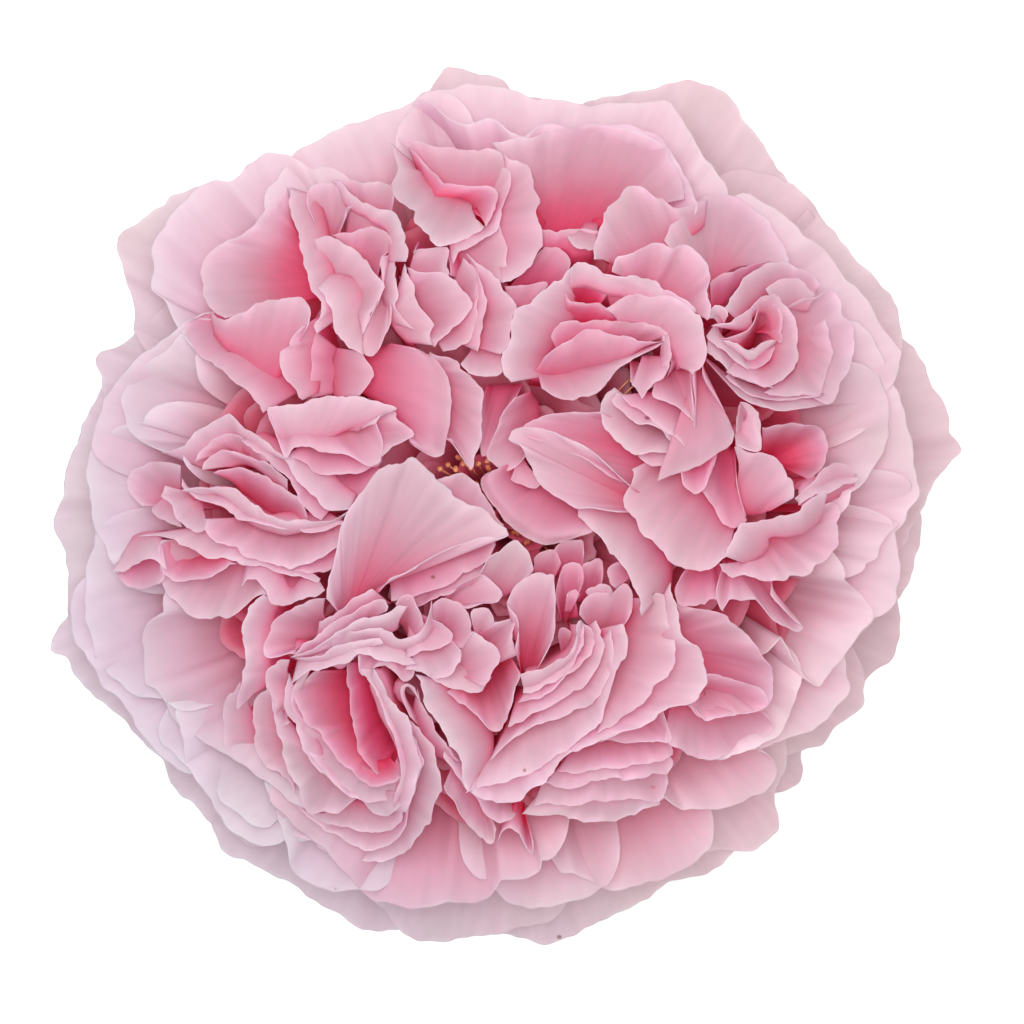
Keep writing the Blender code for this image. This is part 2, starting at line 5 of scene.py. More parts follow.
import bpy
import numpy as np
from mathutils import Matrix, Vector


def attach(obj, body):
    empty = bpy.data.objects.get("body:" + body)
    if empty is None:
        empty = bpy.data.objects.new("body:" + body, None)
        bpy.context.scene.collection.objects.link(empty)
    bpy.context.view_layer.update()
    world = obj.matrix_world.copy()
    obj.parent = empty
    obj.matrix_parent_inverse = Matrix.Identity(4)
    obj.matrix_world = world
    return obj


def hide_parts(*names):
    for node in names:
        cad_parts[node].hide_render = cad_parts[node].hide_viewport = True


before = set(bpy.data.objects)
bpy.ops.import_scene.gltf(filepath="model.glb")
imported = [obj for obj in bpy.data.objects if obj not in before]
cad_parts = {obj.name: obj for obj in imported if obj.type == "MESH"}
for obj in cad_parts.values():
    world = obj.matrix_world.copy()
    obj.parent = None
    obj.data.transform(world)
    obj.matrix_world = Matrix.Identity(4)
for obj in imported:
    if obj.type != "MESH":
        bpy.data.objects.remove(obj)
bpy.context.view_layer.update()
mm = 0.001

bloom = {
    "middle": (-0.7, 0.45),    # the flower's axis in the plan that the rims are drawn in
    "domeRadius": 48.0,
    "domeBase": 3.0,
    "domeRise": 38.0,
    "heartDip": 3.5,           # the heart sinks a little below the dome
    "heartRadius": 9.0,
    "outerSag": 6.0,           # the outermost rims hang a little below the dome,
    "sagFrom": 28.0,           # from this radius on,
    "sagOver": 12.0,           # all of it reached after this much more
    "footRadius": 4.1,         # where the innermost petals stand on the hip
    "tierStep": 0.62,          # each tier of petals stands this much further out
    "tierDrop": 0.9,           # and hangs this much lower halfway out
    "innerFeet": 7.0,          # inner petals stand on the hip no further out than this
    "hipTop": 13.0,
    "hipFall": 0.028,          # fall of the hip's top by the square of the radius
    "footLift": 0.4,           # gap between a petal's foot and the hip
    "guardRim": 1.3,           # height of the widest guard rims, which climb inwards by this slope
    "guardSlope": 0.9,
    "floorGap": 0.1,
}

# petals of the two outer rings: share of the width left at the foot, how far the rim runs on past its ends
# and falls there, waves of the rim, swells of the sheet and raggedness (mm)
rings = {
    "guard": {"footWidth": 0.35, "corner": 5.0, "round": 0.4, "wave": 0.7, "swell": 0.8, "rag": 0.15},
    "outer": {"footWidth": 0.45, "corner": 4.0, "round": 0.4, "wave": 0.55, "swell": 0.6, "rag": 0.15},
}
# how they rise and arch over between foot and rim, with values for near the middle and for far out: shares of
# the rim's radius, and heights (mm)
outerArch = {
    "from": 20.0, "over": 26.0, "lowReach": (0.90, 0.45), "highReach": (0.97, 0.80), "rise": (3.0, 9.0),
    "upright": 0.80, "crest": 13.0,
}
# folds that open from a point: how far in the sheet leans below its rim (share and most mm), its steepness
# there, curl, waves, swells, raggedness and rounding of the ends
folds = {
    "fold": {"lean": 0.38, "most": 5.0, "steep": 0.6, "curl": 0.15, "wave": 0.25, "swell": 0.25, "rag": 0.1,
             "corner": 2.5},
    "lip": {"lean": 0.42, "most": 6.0, "steep": 0.5, "curl": 0.3, "wave": 0.3, "swell": 0.3, "rag": 0.1,
            "corner": 2.5},
    "wide": {"lean": 0.5, "most": 9.0, "steep": 0.35, "curl": 0.25, "wave": 0.3, "swell": 0.4, "rag": 0.1,
             "corner": 2.5},
}
# broad petals: how far the hidden edge lies below the rim, bow of the face, turn of the rim, raggedness,
# waves, swells, and how far up from its low edge the petal is coloured deeper, partly its own deeper foot and
# partly painted shade where it goes under its neighbours (mm)
faces = {
    "ledge": {"dip": 1.0, "bow": 1.2, "curl": 0.1, "rag": 0.16, "wave": 0.3, "swell": 0.25, "shade": 4.0},
    "slope": {"dip": 2.4, "bow": 1.35, "curl": 0.1, "rag": 0.16, "wave": 0.3, "swell": 0.22, "shade": 8.0},
    "steep": {"dip": 4.8, "bow": 1.4, "curl": 0.1, "rag": 0.16, "wave": 0.3, "swell": 0.22, "shade": 22.0},
    "roll": {"dip": 3.0, "bow": 2.4, "curl": -0.8, "rag": 0.08, "wave": 0.2, "swell": 0.3, "shade": 6.0},
}
# the longest wave along a rim, of its raggedness, and of the swells over the sheet (mm)
waveLengths = {
    "ring": {"wave": 9.0, "rag": 5.0, "swell": 17.0},
    "fold": {"wave": 8.0, "rag": 4.0, "swell": 11.0},
    "broad": {"wave": 6.0, "rag": 4.0, "swell": 12.0},
}
tuck = {"under": 1.1, "drop": 1.2}     # how far a broad petal's low edge goes on under its neighbours (mm)
liftShare = 0.6                        # how much of a lift shows above the dome
sheetGrid = {"pitch": 0.4, "rows": 15, "outerMore": 6, "wallRows": 5, "thickness": 0.1}

# piece, kind, seat (tier on the hip, the point that a fold opens from, or the low edge of a broad petal),
# lift of the rim, tone from pale 0 to rich 1 (partly the petal's own colour, partly painted shade: richer
# where the petal lies in shade), rim
petalList = [
    ("guard_petal_n", "guard", 7, 0, 0, [
        (-10.5, 40.8), (-8.6, 42.4), (-7.3, 44.1), (-6, 44.9), (-3.5, 44.3), (-0.9, 43.5), (0.4, 42.2),
        (3.5, 41.4), (6.5, 39.5)]),
    ("guard_petal_nne", "guard", 8, -1.5, 0, [
        (5, 40), (8.8, 41.8), (13.2, 42.5), (16.2, 43.4), (19.4, 43.4), (22.1, 41.8), (24, 38.8),
        (25.6, 36.8), (27.3, 34), (30, 30.5)]),
    ("guard_petal_ene", "guard", 7, -1, 0, [
        (25, 34.2), (28.2, 33.2), (31, 30.2), (33.2, 27.3), (36.6, 23.6), (38.6, 21.5), (39, 19.2),
        (39.5, 17.2), (38.4, 13)]),
    ("guard_petal_e", "guard", 8, -1, 0, [
        (37.5, 19), (40.2, 17), (41.6, 14.7), (42.6, 12.6), (43.9, 10.3), (44.3, 8.2), (45.3, 6.4),
        (44.6, 5.3), (42.1, 2.3), (41.7, 0.7), (40, -2)]),
    ("guard_petal_ese", "guard", 7, -1.5, 0, [
        (39.5, 5), (41.2, 1), (41.1, -3), (40.5, -5.6), (39, -8.8), (36.5, -10.6)]),
    ("guard_petal_se1", "guard", 8, -6, 0, [
        (38.4, -6), (39.1, -10), (39.1, -13.4), (38.3, -14.9), (36.7, -16), (35.4, -17.4), (32.5, -19)]),
    ("guard_petal_se2", "guard", 7, -3.5, 0, [
        (34.2, -13.2), (35.4, -16), (35.6, -18.8), (34.7, -20.2), (32.6, -21.8), (31.5, -23.2),
        (29, -24.2), (26.5, -25)]),
    ("guard_petal_se3", "guard", 8, -7, 0, [
        (28.6, -22.5), (29.2, -24.5), (29.4, -26.4), (28.6, -27.6), (25, -29)]),
    ("guard_petal_sse", "guard", 7, -0.5, 0, [
        (26.9, -26.8), (26.5, -29.3), (26.9, -30.8), (26.6, -32.4), (25.2, -33.7), (23.9, -34.2),
        (21.8, -34.1), (19.3, -34.3), (17.4, -33.8), (15.4, -33), (13.7, -31.6), (12.2, -30.2)]),
    ("guard_petal_s1", "guard", 8, -2.5, 0, [
        (24, -31.5), (22, -34.6), (20.8, -36), (18, -36.9), (15.3, -37.7), (12.6, -39.7), (9.6, -40.9),
        (7.4, -42.2), (4.6, -43.3), (3, -43.9), (1.4, -43), (-1.5, -42.5), (-4, -41)]),
    ("guard_petal_s2", "guard", 7, 0, 0, [
        (3, -41.5), (-2, -42.6), (-5.5, -43.1), (-9, -43.4), (-10.6, -42.7), (-12.2, -41.2),
        (-14.2, -38.8), (-16, -36.5)]),
    ("guard_petal_ssw", "guard", 8, -1, 0, [
        (-9.5, -41), (-11.8, -42.2), (-14.6, -42.3), (-16.7, -41.1), (-19, -39.8), (-21.5, -38.1),
        (-23.3, -37), (-26, -35.7), (-29.1, -34.2), (-30.2, -32), (-31, -29.5)]),
    ("guard_petal_sw1", "guard", 7, 0, 0, [
        (-27.5, -33.2), (-30.3, -31.3), (-32.4, -29.3), (-33.8, -28.1), (-34.9, -26.2), (-35.5, -24.7),
        (-37.2, -23.1), (-38.5, -20.5)]),
    ("guard_petal_sw2", "guard", 8, -1, 0, [
        (-34.5, -25.5), (-37.3, -23), (-39, -21.3), (-40.8, -19.6), (-42.8, -18.1), (-43.9, -16.9),
        (-44.9, -14.8), (-46.2, -14.3), (-46.7, -13.5), (-44.7, -10), (-42.5, -6.5)]),
    ("guard_petal_w1", "guard", 7, 0, 0, [
        (-42.8, -14.5), (-44.5, -11.5), (-44.9, -8), (-44.9, -4.5), (-46, -2.4), (-46.3, -1),
        (-45.6, 0.8), (-45.1, 3.6), (-44.3, 6.2), (-42.8, 9.8)]),
    ("guard_petal_w2", "guard", 8, -3, 0, [
        (-43.5, -3), (-44.7, 1.5), (-44.5, 4.6), (-43.8, 7.2), (-42.5, 10.3), (-41.1, 13),
        (-39.4, 15.4), (-37.2, 17)]),
    ("guard_petal_wnw", "guard", 7, -1, 0, [
        (-41, 10.5), (-41.4, 13), (-41.9, 15), (-41.5, 16.1), (-39.8, 16.7), (-37.8, 18.2), (-36, 20)]),
    ("guard_petal_nw1", "guard", 8, -1, 0, [
        (-36.6, 15.5), (-38.1, 18.5), (-38.1, 20.5), (-38.7, 22.8), (-39.5, 25), (-39.9, 27.3),
        (-39, 28.6), (-35.5, 30.8), (-34.4, 32), (-33, 32.4), (-31, 32.8), (-28, 32)]),
    ("outer_petal_nw", "outer", 6, 0, 0, [
        (-31.5, 16), (-33.8, 18.8), (-34.7, 21.1), (-36.4, 22.6), (-35.9, 24.8), (-36.3, 26.8),
        (-34.9, 28.9), (-33.1, 31.4), (-30.5, 33.2), (-28, 33.5), (-26.4, 34.9), (-24.6, 36.2),
        (-22.5, 35.8), (-20, 34.5)]),
    ("outer_petal_nnw", "outer", 5, 0, 0, [
        (-24, 33), (-22.4, 35.3), (-20.8, 36.7), (-18, 38.2), (-15, 39.4), (-12.3, 40.2),
        (-10.3, 41.1), (-9.3, 42), (-7, 42.2)]),
    ("crown_petal_n1", "outer", 6, 0, 0, [
        (-9.8, 40.5), (-8.6, 42.2), (-6, 42.6), (-3.5, 43.1), (-1, 42.7), (2, 41.7), (5, 41.3),
        (8.3, 40.9), (10.5, 41.1), (15.5, 41.3), (16.4, 40.8), (18.4, 37.2), (20.8, 33.6)]),
    ("crown_petal_n2", "wide", None, 4, 0, [
        (-8, 41), (-6, 39.3), (-4, 39), (-2, 39.5), (0, 38), (1.2, 37.6), (3, 38.9), (6, 38.6),
        (9, 38.9), (12, 38.4), (14.5, 37.4), (16.2, 35.8), (17.3, 33.8), (18.5, 31.3)]),
    ("outer_petal_ene", "outer", 5, 0, 0, [
        (24.5, 31.5), (26.6, 30.4), (29, 28.2), (31.5, 26.2), (34, 23), (36, 21), (37.5, 18),
        (39.1, 16.5), (38.9, 14.8), (38.2, 12.8), (36.5, 11)]),
    ("outer_petal_e1", "outer", 6, 0, 0, [
        (36, 18), (38.2, 13.2), (39.3, 10.5), (39.9, 8.3), (40.5, 4.5), (40.9, 2), (39.8, 0)]),
    ("outer_petal_e2", "outer", 4, 0, 0, [
        (37, 13.5), (37.9, 10), (37.6, 7.2), (36.7, 5), (35.4, 3.2), (34, 2)]),
    ("outer_folds", "outer", 5.5, 0, 0, [
        (40.2, 2.5), (39.5, 0), (37, -3.4), (36.5, -4.6), (35.5, -5.2)]),
    ("outer_folds", "outer", 6, 0, 0, [
        (38.5, -2), (38.9, -5), (38.6, -8.8), (37.3, -10.2), (35.6, -10.8)]),
    ("outer_petal_se1", "outer", 5, 0, 0, [
        (33.2, -6.8), (35, -8.2), (36.1, -9.8), (36, -11), (34.4, -12.9), (33, -14.7), (31.4, -16.9),
        (30.5, -17.4), (29.3, -16.5), (28, -14.5), (26.8, -12.5)]),
    ("outer_petal_se2", "outer", 6, -2, 0, [
        (33.5, -14), (33.6, -16.4), (33.9, -17.8), (33, -19.3), (31.5, -20.8), (30, -22),
        (28.3, -22.6), (26.3, -23)]),
    ("outer_folds", "outer", 5, 0, 0, [
        (28.8, -17), (28.2, -19.5), (26.9, -22), (24.8, -23.5), (22, -24.3)]),
    ("outer_petal_sse", "outer", 5, -2, 0.3, [
        (24.6, -23.8), (25.6, -24.3), (26.4, -25.2), (26.7, -26.1), (26.2, -27.1), (25.3, -28),
        (23.7, -28.9), (22.3, -29.4), (20.3, -29.8), (18, -29.9), (16.5, -29.5), (15.3, -28.6)]),
    ("outer_petal_s1", "outer", 6, -2.6, 0.4, [
        (19.3, -34.2), (18, -35.6), (15.8, -36.6), (13, -37.5), (10.4, -38), (8.3, -37.4),
        (6.3, -36.3), (4.9, -36.1), (4, -34.9), (2.6, -34.4)]),
    ("outer_folds", "outer", 5.5, -1.6, 0.3, [
        (9, -37.7), (7, -39), (4.6, -39.4), (2, -39.9), (0, -39.4), (-1.4, -38.2), (-2.5, -37)]),
    ("outer_petal_s2", "outer", 5, 0.8, 0.7, [
        (3, -34.9), (2.6, -36.2), (1, -36.9), (-0.9, -36.7), (-1.6, -37.9), (-3, -39.1), (-5.5, -39.2),
        (-8, -39.6), (-10.5, -39.8), (-12.6, -39.3), (-14.5, -38.6), (-16.2, -36.9), (-18.2, -34.5),
        (-20.8, -32.3), (-23.4, -30)]),
    ("outer_folds", "outer", 5.5, 0, 0, [
        (-14.8, -38), (-17, -38.1), (-19, -37.9), (-20.6, -37.3), (-21.9, -36.2), (-22.6, -34),
        (-23.2, -31.5), (-23.9, -29.2)]),
    ("outer_folds", "outer", 6.2, 0, 0, [
        (-22.5, -32.8), (-24, -33.5), (-26, -33.3), (-27.8, -32.5), (-29.2, -30.8), (-30.5, -28.8),
        (-31.8, -26.6), (-33.6, -24.8), (-35.3, -23)]),
    ("outer_petal_sw1", "outer", 6, 0, 0, [
        (-23.4, -30.8), (-24.5, -31.7), (-26, -31.4), (-27.6, -30.4), (-28.9, -29.3), (-29.9, -28),
        (-31.6, -26.7), (-32.6, -25.3), (-33.4, -21.5)]),
    ("outer_folds", "outer", 6.2, 0, 0, [
        (-33.5, -25.8), (-36, -24), (-37.9, -21.2), (-39.9, -18.4), (-40.9, -17.8), (-41.6, -16.9),
        (-42.8, -14.5), (-43.7, -13.4), (-44.5, -11.8), (-44.3, -9)]),
    ("outer_petal_sw2", "outer", 4.5, 0, 0.35, [
        (-21.3, -29.4), (-22.3, -29), (-25, -26.7), (-28, -24.8), (-30, -23.5), (-31.6, -22.8),
        (-33.4, -21.5), (-35.8, -17.8), (-36.8, -17.1), (-37, -15), (-37, -12.5), (-36.4, -11),
        (-34.9, -10)]),
    ("outer_petal_w1", "outer", 6, 0, 0, [
        (-35, -18.8), (-37.5, -18.5), (-39.5, -17.3), (-41, -15.9), (-41.9, -14.4), (-42.7, -11.5),
        (-43, -8.5), (-42.7, -5.5), (-42, -3)]),
    ("outer_petal_w2", "outer", 5.2, -0.5, 0, [
        (-39.5, -6), (-41, -3.5), (-41.9, -1.5), (-42.3, 0.5), (-42.7, 3.5), (-42.5, 6.1), (-41, 7),
        (-40, 8.2), (-38.7, 8.9), (-37, 9)]),
    ("outer_folds", "outer", 5, 0, 0.2, [
        (-42.2, 7), (-41.8, 9), (-41, 11), (-39.6, 13.3), (-38, 15), (-35.8, 16.8), (-33.6, 18.2)]),
    ("outer_petal_wnw", "outer", 4, -0.5, 0, [
        (-32.8, 6.6), (-34.5, 6), (-36.5, 6.8), (-38.4, 8), (-39, 10), (-39.1, 12), (-38.1, 14),
        (-36, 15.3), (-33.6, 17.4), (-32.2, 19)]),
    ("strap_folds_s", "fold", None, 0, 0.25, [
        (-6.6, -24.8), (-5, -27), (-3.6, -28.6), (-2.6, -30.2), (-1.4, -31)]),
    ("tongue_petal_w", "slope", [(-17.6, -9.6), (-16, -8.9), (-14.4, -8), (-12.6, -7.2)], 3, 0, [
        (-18.6, -8.5), (-17.9, -5.5), (-17.3, -3), (-16.9, -1), (-15, 2), (-13.5, 3.9), (-12.4, 4.7),
        (-11, 4.9), (-10.3, 5.3), (-9.4, 5.1), (-7.9, 3.9), (-7.5, 3.2), (-5, 1.2), (-4.1, 0.6),
        (-3, 0.4), (-1.9, -0.4), (-1.2, -1.3), (-0.3, -2.2), (-1.2, -2.6), (-2.5, -2.4), (-4.3, -2.9),
        (-6.2, -3.6), (-8.2, -4.6), (-10, -5.8), (-12.1, -6.6)]),
    ("heart_tongues", "slope", [(-1.8, -2.6), (-6, -3.2), (-9, -4.6), (-12.2, -6.6)], 0, 0.8, [
        (-1.6, -3.4), (-2.2, -4.4), (-3.1, -5.2), (-6.2, -7.1), (-8, -7.9), (-12, -9)]),
    ("heart_tongues", "ledge", [(-2.9, -5), (-5, -6), (-7, -7), (-9.5, -7.8)], -1, 0.5, [
        (-2.9, -5.4), (-3.1, -6.2), (-6.3, -8.1), (-9.4, -9.4), (-10.4, -10)]),
    ("heart_tongues", "ledge", [(-7.8, 2.4), (-5.5, 0.6), (-3.5, -0.6), (-1.6, -2)], 0, 0.35, [
        (-7.7, 3.1), (-6.6, 3.6), (-5.4, 3.8), (-4.2, 3.4), (-3.3, 2.7), (-2.2, 0.6), (-0.8, -1.3)]),
    ("heart_tongues", "roll", [(-1.2, 4.4), (0.2, 3.3), (1.8, 2.4), (2.9, 2.6), (6.5, 0.2), (8.2, -1.6)],
        1, 0.6, [
        (-1.9, 4.1), (-2.8, 3.7), (-3.1, 2.9), (-2.6, 1.7), (-1.8, 0.5), (-0.8, -0.7), (0.2, -1.7),
        (1.4, -2.6), (2.8, -3.1), (4.3, -3.2), (7, -2.3), (8, -2)]),
    ("heart_tongues", "ledge", [(0.2, 4.2), (1, 4.4), (2, 4.1)], 0.5, 0.6, [
        (-0.1, 3.3), (0.5, 2.8), (1.5, 2.4), (2.4, 2.5), (2.9, 3)]),
    ("heart_tongues", "slope", [(0.6, 11.8), (-1.2, 11.6), (-2.8, 11.6)], -1.5, 0.75, [
        (0.3, 11.1), (-0.8, 9.8), (-2.3, 6.4), (-2.8, 5.4), (-3.1, 6.4), (-3.1, 10.6)]),
    ("heart_tongues", "slope", [(0.8, 11.6), (1.6, 10.4), (1.9, 9), (1.8, 6.2)], -0.5, 0.5, [
        (0.1, 11.3), (-0.9, 9.8), (-2.3, 6.4), (-2.4, 5.4), (-1.9, 4.7), (-1.2, 4.2), (-0.3, 4.2),
        (0.6, 4.7), (1.4, 5.7)]),
    ("heart_tongues", "slope", [(-8.4, 15.2), (-7, 13.4), (-6.6, 11.2), (-6.8, 9), (-7.2, 7.4)], 1, 0.3, [
        (-8.2, 15.9), (-6.7, 15.5), (-5.6, 15), (-5, 14.2), (-4, 13.5), (-3.3, 12.6), (-2.9, 11.4),
        (-3.1, 7.6), (-3.2, 6.2), (-3.7, 5.6), (-4, 4.3), (-4.7, 5), (-5.4, 6.2), (-6.2, 7.3)]),
    ("heart_tongues", "roll", [(-11, 16.6), (-13, 15.8), (-14.4, 14), (-14.6, 12.2), (-11.4, 9.4),
        (-10.4, 8)], 2.5, 0.6, [
        (-9.6, 16.3), (-8.4, 15.7), (-7.4, 15), (-6.7, 14.1), (-6.3, 13), (-6, 10.6), (-6.4, 8),
        (-6.7, 6.1), (-7, 5.6), (-7.8, 5.5), (-9.6, 6.4), (-10.2, 7)]),
    ("heart_tongues", "ledge", [(-13, 9.6), (-13.4, 8), (-13.2, 6.2)], 3, 0.3, [
        (-12.2, 10), (-11.5, 9.9), (-11.3, 9.2), (-9.8, 8), (-10.4, 7.3), (-12.5, 6), (-13, 5.5)]),
    ("heart_tongues", "slope", [(-19, 4.2), (-16.5, 4.3), (-13.4, 4.9)], 0, 0.85, [
        (-19, 2.6), (-17.5, 1.7), (-16.5, 0.9), (-15.8, 0.6), (-14.2, 2), (-13, 3.8)]),
    ("rosette_folds_s", "slope", [(-3.6, -6.6), (-2, -7.4), (-0.4, -7.6), (1, -7.2)], 1, 0.1, [
        (-3, -5.8), (-2.3, -4.6), (-1, -3.6), (0.1, -2.9), (1, -3.3), (1.7, -4.1), (2.1, -5.1),
        (2, -6), (1.3, -6.4)]),
    ("rosette_folds_s", "steep", [(0.7, -15), (1.5, -16), (2.4, -15.9)], 2.5, 0.25, [
        (0.3, -13.4), (0.6, -12.3), (0.6, -11), (0.3, -10), (-0.5, -9.3), (-0.2, -8.4), (0.3, -7.4),
        (1, -6.6), (2.2, -6.2), (3.6, -6.2), (4.2, -6.5), (4.3, -10), (4.3, -11.6), (3.9, -13),
        (3.2, -14.4)]),
    ("heart_tongues", "slope", [(9.6, 9.6), (10.8, 7.8), (12.4, 5.8), (12.8, 4.4), (12, 2.6)], 2.6, 0.5, [
        (8.8, 10), (7.4, 9.9), (5, 9.9), (3.4, 9.6), (0.9, 8.5), (1.4, 7.6), (4, 6.6), (7, 5.4),
        (10, 3.4)]),
    ("heart_tongues", "slope", [(11.8, 2.6), (12, 1.2), (11.6, 0)], 3.6, 0.1, [
        (11, 3.2), (9.6, 4.6), (8, 6), (6.4, 7), (3, 8.3), (1.6, 8.5), (0.7, 8.4), (0.1, 7.9),
        (-0.4, 7.1), (0.6, 6.9), (1.6, 5.2), (2.1, 4.1), (2, 3.7), (2.7, 2.9), (3.6, 2.1), (6.3, 0.4),
        (7.6, 0.5), (9, 0.2), (10.6, 0)]),
    ("heart_tongues", "slope", [(6.6, 0.6), (10, 0), (11.6, -0.2), (12.8, -1.8), (14, -4), (15.1, -6),
        (15.1, -8.2)], 2.2, 0.12, [
        (6.6, -0.4), (7.6, -1.3), (10, -4.1), (11, -5.4), (12.4, -7.8), (12.7, -9), (12.8, -10.4)]),
    ("rosette_folds_s", "ledge", [(-6.3, -8.2), (-6, -9), (-5, -9.4)], 0, 0.45, [
        (-5.4, -7.3), (-3, -6.2), (-2, -7), (-1.2, -7.8), (-0.9, -8.5), (-1.4, -9), (-2.8, -9.1),
        (-3.8, -9.4), (-4.4, -9.7)]),
    ("rosette_folds_s", "slope", [(-7.6, -11), (-6.8, -11.3), (-6.2, -12), (-5.8, -13)], 0, 0.5, [
        (-8.1, -10.4), (-8, -9.5), (-7.6, -8.8), (-6.5, -8.6), (-4.4, -9.8), (-4.1, -11),
        (-4.2, -12.2), (-4.7, -13.2), (-5.2, -13.7)]),
    ("rosette_folds_s", "ledge", [(-10.4, -12.6), (-8.8, -11.6), (-8.2, -10.6)], 0.6, 0.4, [
        (-10.6, -14.4), (-7.4, -13.6), (-6.2, -12.9), (-5.8, -12.3), (-6.2, -11.7), (-6.9, -11.2),
        (-7.6, -10.9)]),
    ("rosette_folds_s", "ledge", [(-3.8, -11.6), (-3, -11.3), (-2.4, -11.5)], 0.5, 0.3, [
        (-4.1, -10.4), (-4, -9.9), (-3.2, -9.6), (-2.5, -9.6), (-2, -10), (-1.7, -10.5), (-1.7, -11)]),
    ("rosette_folds_s", "slope", [(-2.6, -11.6), (-1.8, -12.6), (-1.5, -14), (-1.2, -15)], 1, 0.2, [
        (-1.6, -10.9), (0, -10.6), (0.4, -10.4), (0.1, -12), (0.1, -12.8), (0.6, -14.2)]),
    ("rosette_folds_s", "slope", [(-5.2, -13.9), (-5.3, -15), (-5, -16), (-4, -16.8)], 2, 0.2, [
        (-4.2, -12.4), (-3.7, -12), (-1.7, -13.3), (-1.3, -14.1), (-1.4, -15), (-2.4, -16.9),
        (-3, -17.4)]),
    ("rosette_folds_s", "slope", [(-10, -14.6), (-8, -14), (-6.4, -13.3), (-5.6, -13.2)], 1.4, 0.05, [
        (-10.6, -15.6), (-8, -16.4), (-6.8, -16.5), (-5.9, -16.1), (-5.3, -15.2), (-5.1, -14.2),
        (-5.2, -13.7)]),
    ("rosette_folds_s", "slope", [(-7, -16), (-5, -15.4), (-3.5, -16), (-2.4, -16.2)], 1, 0.05, [
        (-8.4, -16.2), (-7.2, -17), (-5.7, -17.7), (-4.1, -18), (-2.9, -17.6), (-2, -16.5)]),
    ("rosette_folds_s", "steep", [(-6, -17.6), (-4, -17.6), (-2, -16.2), (0, -14.6)], 0.5, 0.5, [
        (-6.6, -18), (-5.2, -18.9), (-3.9, -20), (-2.2, -21.6), (-1.3, -21.9), (-0.8, -21.4),
        (0.2, -18.2), (0.7, -16.8), (0.8, -16)]),
    ("rosette_folds_s", "ledge", [(1, -17), (2.5, -16.6), (5.6, -14.8), (6.6, -13.4), (7, -12)], 2, 0.1, [
        (0.8, -16.2), (2, -15.9), (4.4, -14.9), (5.5, -14.4), (6, -13.6), (6.4, -12.3), (6.5, -11.3),
        (6.9, -10.8)]),
    ("rosette_folds_s", "ledge", [(1.2, -17), (3, -16.4), (4.6, -15.6), (6, -14.6), (6.8, -12.8),
        (7, -11.2)], 1.4, 0.35, [
        (1.1, -18), (2.3, -17.9), (3.5, -17.3), (5.7, -15.8), (6.3, -15), (7.2, -12.2), (7.1, -11.2)]),
    ("rosette_folds_s", "slope", [(1.4, -17.8), (3.5, -17), (5.4, -15.8), (6.6, -14), (7, -12), (7, -11)],
        1, 0.5, [
        (0.6, -19), (2.6, -18.6), (4.4, -17.4), (7.2, -14.8), (8, -14.1), (8.3, -13.2), (8.1, -12.2),
        (7.5, -11.3), (6.9, -10.8)]),
    ("rosette_folds_s", "slope", [(0, -20), (2, -18.6), (4.5, -17.2), (6.4, -15.6), (7.9, -14),
        (8.2, -12.4), (7.8, -11.2)], 1, 0.3, [
        (-0.4, -21.4), (1.4, -20.6), (3.4, -19.5), (5.4, -18.5), (7, -17.4), (8, -16.4), (8.7, -15.3),
        (9, -14), (9.1, -12.8), (8.9, -11.8), (8.3, -10.8)]),
    ("rosette_folds_s", "slope", [(-1, -22.2), (1.5, -20.8), (4, -19.4), (6.6, -17.9), (8.4, -16.2),
        (9, -14.5), (9.2, -12.4)], 1, 0.12, [
        (-2.2, -24.8), (-0.6, -23.2), (1, -22), (3, -21.1), (7, -19.6), (8.4, -18.6), (9.4, -17.2),
        (9.9, -15.8), (10.2, -14.2), (10.1, -12.8), (9.7, -11.8)]),
    ("rosette_folds_s", "slope", [(-2, -24), (1, -21.6), (5, -19.8), (8, -18), (9.6, -15.6), (10, -13),
        (9.8, -11.4)], 2, 0.02, [
        (-4.6, -28), (-2, -27.2), (0.6, -26.6), (2.6, -25.6), (4.4, -24.4), (8, -21.8), (9, -20.4),
        (9.6, -18.6), (10.2, -16.2), (10.9, -15.2), (11.4, -13.8), (11.5, -12.6), (11.2, -11.1)]),
    ("rosette_folds_s", "slope", [(9, -20.6), (10, -17.4), (11.2, -14.6), (12, -12), (12.7, -10),
        (12.9, -8.6)], 1.5, 0.2, [
        (8.4, -22.2), (12, -19.9), (13.4, -18.6), (14.5, -17.2), (15.5, -16.3), (16.2, -15),
        (16.4, -13.6), (16.1, -12.3), (15.6, -11.2), (15.5, -10), (15.3, -9), (14.9, -8.3),
        (14.2, -8.1), (13.6, -8.6)]),
    ("rosette_petal_s", "slope", [(-3.6, -27), (0, -26.2), (3, -25), (6, -23), (9, -21.4), (12, -19.4),
        (14.4, -16.8), (15.8, -14), (15.2, -11), (15, -8.4)], 2.4, 0.03, [
        (-4, -27.9), (-3, -28.6), (-2, -29), (0.8, -28.8), (1.6, -28), (2.6, -27.2), (3.4, -26.8),
        (4.2, -25.9), (5.6, -24), (6.8, -23.8), (8.4, -23), (10.4, -22.2), (12.6, -21.5), (14, -20.8),
        (15, -20), (16, -19.4), (18, -19.1), (18.8, -18.3), (19.3, -17), (19.4, -16), (19.1, -14.6),
        (18.5, -13.4), (17.7, -13.1), (17, -12), (16.6, -10.8), (16.4, -9.4), (16, -8.2), (15.8, -7)]),
    ("rosette_folds_s", "slope", [(7.2, -10.8), (8.6, -11), (10.4, -11.6), (11.2, -11.2)], 1, 0.4, [
        (6.7, -10.2), (6.8, -9.4), (7.2, -8.6), (7.8, -8.2), (9, -8.1), (10, -7.9), (11.2, -7.1),
        (11.8, -7.7), (12, -8.8), (12, -9.8), (11.6, -10.6)]),
    ("rosette_folds_s", "ledge", [(7.6, -8.4), (9, -8.4), (9.9, -8.2)], 1, 0.2, [
